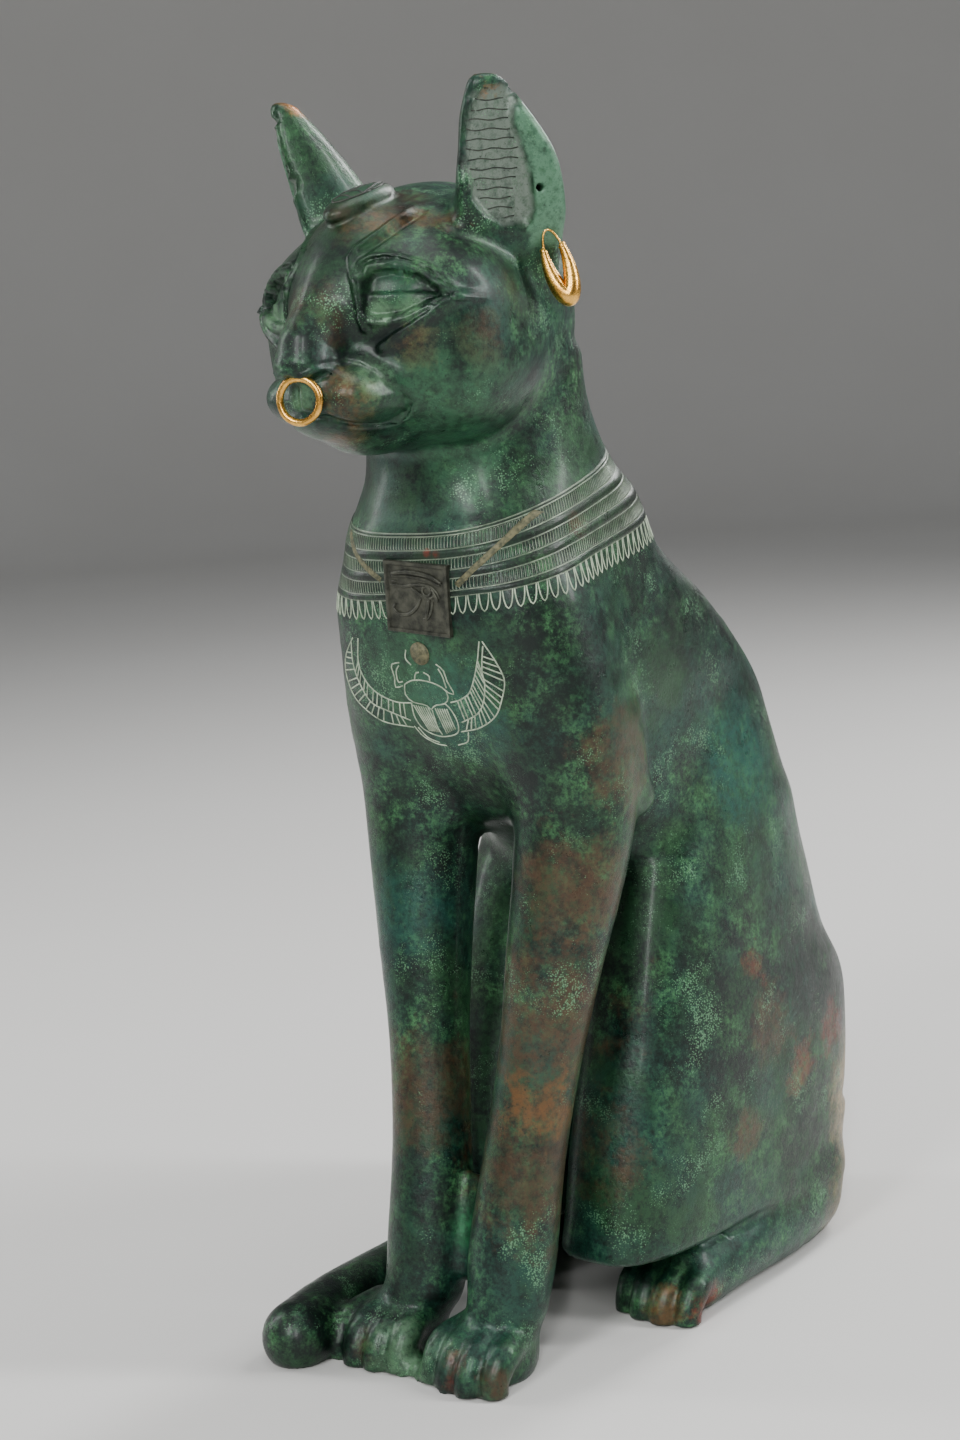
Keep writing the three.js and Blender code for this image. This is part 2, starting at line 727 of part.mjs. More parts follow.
function toSolid(geometry) {
  const bare = geometry.clone();
  bare.deleteAttribute('normal');
  bare.deleteAttribute('uv');
  const closed = mergeVertices(bare, 1e-5);
  return new wasm.Manifold(new wasm.Mesh({
    numProp: 3,
    vertProperties: new Float32Array(closed.attributes.position.array),
    triVerts: new Uint32Array(closed.index.array),
  }));
}

function toGeometry(solid) {
  const mesh = solid.getMesh();
  const geometry = new THREE.BufferGeometry();
  geometry.setAttribute('position', new THREE.BufferAttribute(new Float32Array(mesh.vertProperties), 3));
  geometry.setIndex([...mesh.triVerts]);
  geometry.computeVertexNormals();
  return geometry;
}

// Small pieces and the beds cut for them. Lengths here are millimetres in the form's own frame.

function cutterBox(width, depth, height) {
  return new THREE.BoxGeometry(width, depth, height);
}

function placed(geometry, x, y, z) {
  geometry.translate(x, y, z);
  return geometry;
}

// The chest or brow as met from the front at a level: how far forward the form reaches there
const BEFORE_THE_CHEST = -140;
const INSIDE_THE_CHEST = -40;

function frontOf(x, z) {
  let outside = BEFORE_THE_CHEST;
  let inside = INSIDE_THE_CHEST;
  for (let i = 0; i < 30; i += 1) {
    const middle = (outside + inside) / 2;
    if (catForm(x, middle, z) > 0) {
      outside = middle;
    } else {
      inside = middle;
    }
  }
  return inside;
}

// Nose ring, turned a little to the left and touching the muzzle
const NOSE_RING_AT = [2.2, -132, 327.9];
const NOSE_RING_TURN = 17 * Math.PI / 180;

function noseRingGeometry(extra) {
  const reach = (NOSE_RING_DIAMETER - NOSE_RING_WIRE) / 2;
  const ring = new THREE.TorusGeometry(reach, NOSE_RING_WIRE / 2 + extra, 6, 24);
  ring.rotateX(Math.PI / 2);
  ring.rotateZ(NOSE_RING_TURN);
  return placed(ring, ...NOSE_RING_AT.map((value) => value * UNIT));
}

// Ear ring: a torus drawn out to an oval, thick at the bottom and thin where it passes the ear
const EARRING_AT = [47.9, -63.8, 374.4];
const EARRING_TURN = 36 * Math.PI / 180;
const EARRING_TILT = 15.5 * Math.PI / 180;
const EARRING_SEGMENTS = 24;
const EARRING_SWELL = 1.6;
const TUBE = 0.25;

function earringGeometry(side, extra) {
  const ring = new THREE.TorusGeometry(1, TUBE, 6, EARRING_SEGMENTS);
  const high = (EARRING_HEIGHT - (EARRING_BELLY + EARRING_WIRE) / 2) / 2;
  const wide = EARRING_SPAN / 2;
  const position = ring.attributes.position;
  for (let i = 0; i < position.count; i += 1) {
    const angle = Math.atan2(position.getY(i), position.getX(i));
    const low = (1 - Math.sin(angle)) / 2;
    const radius = EARRING_WIRE / 2 + (EARRING_BELLY - EARRING_WIRE) / 2 * low ** EARRING_SWELL + extra;
    const outward = (Math.hypot(position.getX(i), position.getY(i)) - 1) / TUBE * radius;
    const sideways = position.getZ(i) / TUBE * radius;
    position.setXYZ(i, Math.cos(angle) * (wide + outward), Math.sin(angle) * (high + outward) - high, sideways);
  }
  ring.rotateX(Math.PI / 2);
  ring.rotateY(-side * EARRING_TILT);
  ring.rotateZ(side * EARRING_TURN);
  return placed(ring, side * EARRING_AT[0] * UNIT, EARRING_AT[1] * UNIT, EARRING_AT[2] * UNIT);
}

// The spare piercing, through the outer fold of the ear
const PIERCING_AT = [50.3, -69, 387.1];
const PIERCING_REACH = 60;

function piercingGeometry(side) {
  const hole = new THREE.CylinderGeometry(EAR_PIERCING / 2, EAR_PIERCING / 2, PIERCING_REACH, 12);
  hole.rotateZ(side * EAR_TURN);
  return placed(hole, side * PIERCING_AT[0] * UNIT, PIERCING_AT[1] * UNIT, PIERCING_AT[2] * UNIT);
}

// The pendant hangs a little to the left of the cat's middle and a little askew
const PLAQUE_AT = [4.2, 261.8];
const PLAQUE_SKEW = 4 * Math.PI / 180;
const PLAQUE_HALF = PLAQUE_HEIGHT / 2 / UNIT;
const plaqueTop = frontOf(PLAQUE_AT[0], PLAQUE_AT[1] + PLAQUE_HALF);
const plaqueBottom = frontOf(PLAQUE_AT[0], PLAQUE_AT[1] - PLAQUE_HALF);
const plaqueLean = Math.atan2(plaqueTop - plaqueBottom, 2 * PLAQUE_HALF);
const plaqueMiddle = frontOf(...PLAQUE_AT);

// From the plaque's own frame, whose face looks along -Y, to its place on the chest
function ontoChest(geometry) {
  geometry.translate(0, PLAQUE_THICKNESS / 2 - PLAQUE_PROUD, 0);
  geometry.rotateY(PLAQUE_SKEW);
  geometry.rotateX(-plaqueLean);
  return placed(geometry, PLAQUE_AT[0] * UNIT, plaqueMiddle * UNIT, PLAQUE_AT[1] * UNIT);
}

// A raised stroke on the plaque's face, of even width along a smooth line
function plaqueStroke(knots, width) {
  const curve = new THREE.SplineCurve(knots.map(([x, z]) => new THREE.Vector2(x, z)));
  const stops = curve.getPoints(2 * (knots.length - 1));
  const edge = (side) => stops.map((stop, i) => {
    const ahead = stops[Math.min(i + 1, stops.length - 1)];
    const behind = stops[Math.max(i - 1, 0)];
    const along = ahead.clone().sub(behind).normalize();
    return new THREE.Vector2(stop.x - side * along.y * width / 2, stop.y + side * along.x * width / 2);
  });
  const outline = new THREE.Shape([...edge(1), ...edge(-1).reverse()]);
  const stroke = new THREE.ExtrudeGeometry(outline, { depth: 2 * PLAQUE_RELIEF, bevelEnabled: false });
  stroke.rotateX(Math.PI / 2);
  return placed(stroke, 0, PLAQUE_RELIEF - PLAQUE_THICKNESS / 2 + PLAQUE_RELIEF, 0);
}

function plaqueSolid() {
  const inner = [PLAQUE_WIDTH - 2 * PLAQUE_FRAME, PLAQUE_HEIGHT - 2 * PLAQUE_FRAME];
  let plaque = toSolid(ontoChest(cutterBox(PLAQUE_WIDTH, PLAQUE_THICKNESS, PLAQUE_HEIGHT)));
  const sunk = cutterBox(inner[0], 2 * PLAQUE_RELIEF, inner[1]);
  plaque = plaque.subtract(toSolid(ontoChest(placed(sunk, 0, -PLAQUE_THICKNESS / 2, 0))));
  const share = PLAQUE_WIDTH / 26;
  const lines = [
    [[[-9.5, 6.6], [-3, 7.4], [4, 7.2], [9.6, 5.6]], 1.4],
    [[[-9.3, 3.6], [-3.5, 4.9], [2, 4.6], [6, 2.6], [9.4, 2.4]], 1.1],
    [[[-8, 2.6], [-3, 0.9], [1.5, 1], [6, 2.4]], 1],
    [[[2.4, 0.9], [2.6, -2.4], [1.6, -5.4]], 1.2],
    [[[0.4, 0.6], [-1.6, -3.4], [-5.4, -5.4], [-8.8, -4.2], [-8.2, -1.9]], 1.1],
  ];
  for (const [knots, width] of lines) {
    const fitted = knots.map(([x, z]) => [x * share, z * share]);
    plaque = plaque.add(toSolid(ontoChest(plaqueStroke(fitted, width * share))));
  }
  const iris = new THREE.CylinderGeometry(1.5 * share, 1.5 * share, 2 * PLAQUE_RELIEF, 12);
  placed(iris, 0.8 * share, PLAQUE_RELIEF - PLAQUE_THICKNESS / 2 + PLAQUE_RELIEF / 2, 2.7 * share);
  return plaque.add(toSolid(ontoChest(iris)));
}

// A cord strip: a band seen from the front, laid as deep as its inlay into the chest all along
const LEFT_CORD = [[20, 266], [25, 270.5], [30, 275.5], [34.5, 281], [38, 287.5]];
const RIGHT_CORD = [[-10.5, 267.5], [-16.5, 271], [-23, 276], [-28, 282.5]];

function cordBand(knots, extra) {
  const curve = new THREE.SplineCurve(knots.map(([x, z]) => new THREE.Vector2(x * UNIT, z * UNIT)));
  const stops = curve.getPoints(2 * (knots.length - 1));
  const half = CORD_WIDTH / 2 + extra;
  const edge = (side) => stops.map((stop, i) => {
    const along = stops[Math.min(i + 1, stops.length - 1)].clone().sub(stops[Math.max(i - 1, 0)]).normalize();
    const end = i === 0 ? -extra : (i === stops.length - 1 ? extra : 0);
    return new THREE.Vector2(
      stop.x - side * along.y * half + along.x * end,
      stop.y + side * along.x * half + along.y * end,
    );
  });
  const outline = new THREE.Shape([...edge(1), ...edge(-1).reverse()]);
  const depth = (INSIDE_THE_CHEST - BEFORE_THE_CHEST) * UNIT;
  const band = new THREE.ExtrudeGeometry(outline, { depth, bevelEnabled: false });
  band.rotateX(Math.PI / 2);
  return placed(band, 0, INSIDE_THE_CHEST * UNIT, 0);
}

function cordInlay(body, knots) {
  const band = toSolid(cordBand(knots, 0));
  return body.translate([0, -INLAY_PROUD, 0]).intersect(band).subtract(body.translate([0, CORD_DEPTH, 0]));
}

function cordBed(body, knots) {
  const band = toSolid(cordBand(knots, FIT_CLEARANCE));
  return band.subtract(body.translate([0, CORD_DEPTH + FIT_CLEARANCE, 0]));
}

// The sun disc below the plaque, flush in a round bed
const SUN_DISC_AT = [1.2, 243.4];
const discRise = frontOf(SUN_DISC_AT[0], SUN_DISC_AT[1] + 3) - frontOf(SUN_DISC_AT[0], SUN_DISC_AT[1] - 3);
const discLean = Math.atan2(discRise, 6);

function discGeometry(extra) {
  const disc = new THREE.CylinderGeometry(SUN_DISC_DIAMETER / 2 + extra, SUN_DISC_DIAMETER / 2 + extra,
    SUN_DISC_DEPTH + 2 * extra, 20);
  disc.translate(0, SUN_DISC_DEPTH / 2 - INLAY_PROUD, 0);
  disc.rotateX(-discLean);
  return placed(disc, SUN_DISC_AT[0] * UNIT, frontOf(...SUN_DISC_AT) * UNIT, SUN_DISC_AT[1] * UNIT);
}

// The bronze: net, thinned, cut flat on the ground, with the beds and holes of the other pieces

const FIGURE_FACES = 6900;
const HEAD_WEIGHT = 4;

function bronzeSolid() {
  const levels = [
    ...gridLine(-15, NECK_LEVEL, BODY_STEP),
    ...gridLine(NECK_LEVEL + HEAD_STEP, GRID_UNITS + 6, HEAD_STEP),
  ];
  const net = surfaceNet(catForm, gridLine(-84, 66, BODY_STEP), gridLine(-142, 130, BODY_STEP), levels);
  const light = thin(net, FIGURE_FACES, ([, , z]) => (z > NECK_LEVEL ? HEAD_WEIGHT : 1));
  const ground = placed(cutterBox(HEIGHT, HEIGHT, HEIGHT), 0, 0, GROUND_LEVEL * UNIT - HEIGHT / 2);
  return toSolid(netGeometry(light, UNIT)).subtract(toSolid(ground));
}

const bronze = bronzeSolid();
const plaqueBed = cutterBox(PLAQUE_WIDTH + 2 * FIT_CLEARANCE, PLAQUE_THICKNESS + 2 * FIT_CLEARANCE,
  PLAQUE_HEIGHT + 2 * FIT_CLEARANCE);
const cutters = [
  toSolid(noseRingGeometry(FIT_CLEARANCE)),
  toSolid(earringGeometry(1, FIT_CLEARANCE)),
  toSolid(earringGeometry(-1, FIT_CLEARANCE)),
  toSolid(piercingGeometry(1)),
  toSolid(piercingGeometry(-1)),
  toSolid(ontoChest(plaqueBed)),
  toSolid(discGeometry(FIT_CLEARANCE)),
  cordBed(bronze, LEFT_CORD),
  cordBed(bronze, RIGHT_CORD),
];
const figure = cutters.reduce((body, cutter) => body.subtract(cutter), bronze);

// Finishes, then the pieces

const patina = new THREE.MeshStandardMaterial({ color: 0x2f4a3c, roughness: 0.42, metalness: 0.6 });
const gold = new THREE.MeshStandardMaterial({ color: 0xd9a431, roughness: 0.28, metalness: 1 });
const silver = new THREE.MeshStandardMaterial({ color: 0x5a5248, roughness: 0.5, metalness: 0.8 });
const paleInlay = new THREE.MeshStandardMaterial({ color: 0x8c7d5e, roughness: 0.55, metalness: 0.5 });

const cat = new THREE.Group();
cat.position.set(0, -SEAT_MIDDLE * UNIT, -GROUND_LEVEL * UNIT);

function addPiece(name, geometry, material) {
  const piece = new THREE.Mesh(geometry, material);
  piece.name = name;
  cat.add(piece);
}

addPiece('cat_figure', toGeometry(figure), patina);
addPiece('nose_ring', noseRingGeometry(0), gold);
addPiece('left_earring', earringGeometry(1, 0), gold);
addPiece('right_earring', earringGeometry(-1, 0), gold);
addPiece('wedjat_plaque', toGeometry(plaqueSolid()), silver);
addPiece('left_pendant_cord', toGeometry(cordInlay(bronze, LEFT_CORD)), paleInlay);
addPiece('right_pendant_cord', toGeometry(cordInlay(bronze, RIGHT_CORD)), paleInlay);
addPiece('scarab_sun_disc', discGeometry(0), paleInlay);

const root = new THREE.Group();
root.add(cat);

export default root;
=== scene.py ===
import logging
import math
from dataclasses import dataclass
from enum import Enum
from typing import Callable, Sequence

import bmesh
import bpy
import numpy as np
from mathutils import Matrix, Vector


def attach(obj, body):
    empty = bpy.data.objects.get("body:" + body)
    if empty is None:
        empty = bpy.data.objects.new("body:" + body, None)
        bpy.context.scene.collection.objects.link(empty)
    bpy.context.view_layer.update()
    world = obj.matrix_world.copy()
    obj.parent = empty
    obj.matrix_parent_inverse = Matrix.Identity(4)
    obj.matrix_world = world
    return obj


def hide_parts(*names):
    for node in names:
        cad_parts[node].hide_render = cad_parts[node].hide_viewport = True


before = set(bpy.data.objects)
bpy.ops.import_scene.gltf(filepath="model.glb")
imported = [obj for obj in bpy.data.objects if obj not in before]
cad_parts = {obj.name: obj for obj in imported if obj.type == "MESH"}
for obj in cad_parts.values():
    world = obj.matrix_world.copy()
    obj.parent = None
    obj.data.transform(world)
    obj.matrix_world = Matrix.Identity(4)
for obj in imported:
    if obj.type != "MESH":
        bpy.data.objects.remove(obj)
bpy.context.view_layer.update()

LOG = logging.getLogger("bronze_cat")

# The form is laid out in millimetres about a point between the forelegs, as the solids are.
# The part's own origin lies under the seat, on the ground.
MM = 0.001
SEAT_MIDDLE = 50.0
GROUND_LEVEL = 2.2

Points = Sequence[Sequence[float]]
Shape = Callable[[np.ndarray, np.ndarray, np.ndarray], np.ndarray]


class Slot(Enum):
    """The record's material slots."""

    BRONZE = "patinated_bronze"
    GOLD = "gold"
    SILVER = "dark_silver"
    INLAY = "pale_inlay"


class Side(Enum):
    """The cat's own sides, as the sign of X."""

    LEFT = 1
    RIGHT = -1


def to_part(points: np.ndarray) -> np.ndarray:
    """Moves points from the form's millimetres to the part's metres.

    Args:
        points: Rows of x, y, z in the form's frame.

    Returns:
        Rows of x, y, z in the part's frame.
    """
    return (np.asarray(points, float) + [0.0, -SEAT_MIDDLE, -GROUND_LEVEL]) * MM


def to_form(points: np.ndarray) -> np.ndarray:
    """Moves points from the part's metres to the form's millimetres.

    Args:
        points: Rows of x, y, z in the part's frame.

    Returns:
        Rows of x, y, z in the form's frame.
    """
    return np.asarray(points, float) / MM + [0.0, SEAT_MIDDLE, GROUND_LEVEL]


# Shapes of the form: each is negative inside and near its distance close to the surface


def smooth_column(stops: np.ndarray, values: np.ndarray, at: np.ndarray) -> np.ndarray:
    """Reads a smooth curve through values at rising stops.

    Args:
        stops: The places of the values.
        values: The values to pass through.
        at: Where to read the curve.

    Returns:
        The curve's values, level beyond its ends.
    """
    at = np.clip(at, stops[0], stops[-1])
    slopes = np.gradient(values, stops) if len(stops) < 3 else _central_slopes(stops, values)
    i = np.clip(np.searchsorted(stops, at, side="left") - 1, 0, len(stops) - 2)
    span = stops[i + 1] - stops[i]
    t = (at - stops[i]) / span
    return (
        values[i] * (1 + 2 * t) * (1 - t) ** 2
        + slopes[i] * span * t * (1 - t) ** 2
        + values[i + 1] * t * t * (3 - 2 * t)
        - slopes[i + 1] * span * t * t * (1 - t)
    )


def _central_slopes(stops: np.ndarray, values: np.ndarray) -> np.ndarray:
    """Slopes of a curve at its stops, from the neighbours on both sides.

    Args:
        stops: The places of the values.
        values: The values to pass through.

    Returns:
        One slope for each stop.
    """
    low = np.maximum(np.arange(len(stops)) - 1, 0)
    high = np.minimum(np.arange(len(stops)) + 1, len(stops) - 1)
    return (values[high] - values[low]) / (stops[high] - stops[low])


def blend(a: np.ndarray, b: np.ndarray, width: float) -> np.ndarray:
    """Joins two shapes with a soft fillet of that width."""
    share = np.maximum(width - np.abs(a - b), 0) / width
    return np.minimum(a, b) - share * share * width / 4


def fade(value: np.ndarray) -> np.ndarray:
    """Clamps to 0..1 and eases both ends."""
    t = np.clip(value, 0, 1)
    return t * t * (3 - 2 * t)


def knots_at(knots: Points, at: np.ndarray) -> np.ndarray:
    """Reads straight stretches between knots of a stop and a value."""
    return np.interp(at, *np.array(knots).T)


class Solid:
    """A shape of the form."""

    def __call__(self, x: np.ndarray, y: np.ndarray, z: np.ndarray) -> np.ndarray:
        """Depth of points in the shape.

        Args:
            x: The points' places across.
            y: Their places along.
            z: Their heights.

        Returns:
            Negative inside, near the distance close to the surface.
        """
        raise NotImplementedError


@dataclass(frozen=True)
class Ellipsoid(Solid):
    """A round body with three radii, turned about X if asked."""

    at: tuple[float, float, float]
    radii: tuple[float, float, float]
    tilt: float = 0.0

    def __call__(self, x: np.ndarray, y: np.ndarray, z: np.ndarray) -> np.ndarray:
        """Depth at the points, as Solid says."""
        cos, sin = math.cos(self.tilt), math.sin(self.tilt)
        dx, dy, dz = x - self.at[0], y - self.at[1], z - self.at[2]
        rx, ry, rz = self.radii
        px, py, pz = dx / rx, (cos * dy + sin * dz) / ry, (cos * dz - sin * dy) / rz
        reach = np.sqrt(px * px + py * py + pz * pz)
        slope = np.sqrt((px / rx) ** 2 + (py / ry) ** 2 + (pz / rz) ** 2)
        return reach * (reach - 1) / np.maximum(slope, 1e-9)


@dataclass(frozen=True)
class Limb(Solid):
    """A round limb between two points, with a radius at each."""

    start: tuple[float, float, float]
    end: tuple[float, float, float]
    start_radius: float
    end_radius: float

    def __call__(self, x: np.ndarray, y: np.ndarray, z: np.ndarray) -> np.ndarray:
        """Depth at the points, as Solid says."""
        bx, by, bz = (e - s for s, e in zip(self.start, self.end))
        dx, dy, dz = x - self.start[0], y - self.start[1], z - self.start[2]
        along = np.clip((dx * bx + dy * by + dz * bz) / (bx * bx + by * by + bz * bz), 0, 1)
        away = np.sqrt((dx - bx * along) ** 2 + (dy - by * along) ** 2 + (dz - bz * along) ** 2)
        return away - self.start_radius - (self.end_radius - self.start_radius) * along


class Chain(Solid):
    """Round limbs end to end along a smooth curve through knots of a place and a radius."""

    LINKS_TO_A_KNOT = 3

    def __init__(self, knots: Points) -> None:
        """Sets out the links.

        Args:
            knots: Rows of x, y, z and radius.
        """
        rows = np.asarray(knots, float)
        count = (len(rows) - 1) * self.LINKS_TO_A_KNOT
        at = np.arange(count + 1) / self.LINKS_TO_A_KNOT
        whole = np.arange(len(rows), dtype=float)
        stops = np.stack([smooth_column(whole, rows[:, c], at) for c in range(4)], 1)
        self.links = [Limb(tuple(a[:3]), tuple(b[:3]), a[3], b[3]) for a, b in zip(stops, stops[1:])]

    def __call__(self, x: np.ndarray, y: np.ndarray, z: np.ndarray) -> np.ndarray:
        """Depth at the points."""
        return np.minimum.reduce([link(x, y, z) for link in self.links])


class Slices(Solid):
    """A body of level slices, each a rounded oblong."""

    def __init__(self, rows: Points, roundness: float) -> None:
        """Sets out the slices.

        Args:
            rows: Height, front, back, inner side, outer side and squareness of each slice.
            roundness: How far the top and bottom edges are rounded.
        """
        table = np.asarray(rows, float)
        self.bottom, self.top = table[0, 0], table[-1, 0]
        self.levels = np.arange(self.bottom, self.top + 1e-6, 1.0)
        self.columns = [smooth_column(table[:, 0], table[:, c], self.levels) for c in range(1, 6)]
        self.roundness = roundness

    def __call__(self, x: np.ndarray, y: np.ndarray, z: np.ndarray) -> np.ndarray:
        """Depth at the points, as Solid says."""
        front, back, inner, outer, power = (np.interp(z, self.levels, c) for c in self.columns)
        across, along = (outer - inner) / 2, (back - front) / 2
        u = np.abs(x - (inner + outer) / 2) / across
        v = np.abs(y - (front + back) / 2) / along
        reach = (u ** power + v ** power) ** (1 / power)
        side = (reach - 1) * np.minimum(across, along)
        return -blend(-side, -np.maximum(self.bottom - z, z - self.top), self.roundness)


@dataclass(frozen=True)
class FrontLine:
    """A soft line on the face as seen straight from the front."""

    knots: Points
    width: float

    def __call__(self, x: np.ndarray, z: np.ndarray) -> np.ndarray:
        """How much of the line is felt at points of the face.

        Args:
            x: The points' places across.
            z: Their heights.

        Returns:
            1 on the line and 0 away from it.
        """
        nearest = np.full_like(x, np.inf)
        for (ax, az), (bx, bz) in zip(self.knots, self.knots[1:]):
            length_squared = (bx - ax) ** 2 + (bz - az) ** 2
            t = np.clip(((x - ax) * (bx - ax) + (z - az) * (bz - az)) / length_squared, 0, 1)
            nearest = np.minimum(nearest, np.hypot(x - ax - t * (bx - ax), z - az - t * (bz - az)))
        return np.exp(-((nearest / self.width) ** 2))


class Panel:
    """A panel between an upper and a lower edge as seen from the front."""

    def __init__(self, top: Points, bottom: Points, rim: float) -> None:
        """Sets out the edges.

        Args:
            top: Knots of x and z along the upper edge.
            bottom: Knots along the lower edge.
            rim: Width of the soft rim inside the edges.
        """
        self.top = np.asarray(top, float)
        self.bottom = np.asarray(bottom, float)
        self.rim = rim

    def __call__(self, x: np.ndarray, z: np.ndarray) -> np.ndarray:
        """How much of the panel is felt at points of the face.

        Args:
            x: The points' places across.
            z: Their heights.

        Returns:
            1 in the middle and 0 outside a soft rim.
        """
        above = smooth_column(self.top[:, 0], self.top[:, 1], x) - z
        below = z - smooth_column(self.bottom[:, 0], self.bottom[:, 1], x)
        aside = np.minimum(x - self.top[0, 0], self.top[-1, 0] - x)
        return fade(np.minimum(np.minimum(above, below), aside) / self.rim)


def smooth_path(knots: Points, count: int) -> np.ndarray:
    """Reads a smooth path through knots at even steps of their index.

    Args:
        knots: Points in two or three dimensions.
        count: How many points to return.

    Returns:
        The path's points.
    """
    rows = np.asarray(knots, float)
    stops = np.concatenate([[0], np.cumsum(np.linalg.norm(np.diff(rows, axis=0), axis=1))])
    at = np.linspace(0, stops[-1], count)
    return np.stack([smooth_column(stops, rows[:, c], at) for c in range(rows.shape[1])], 1)


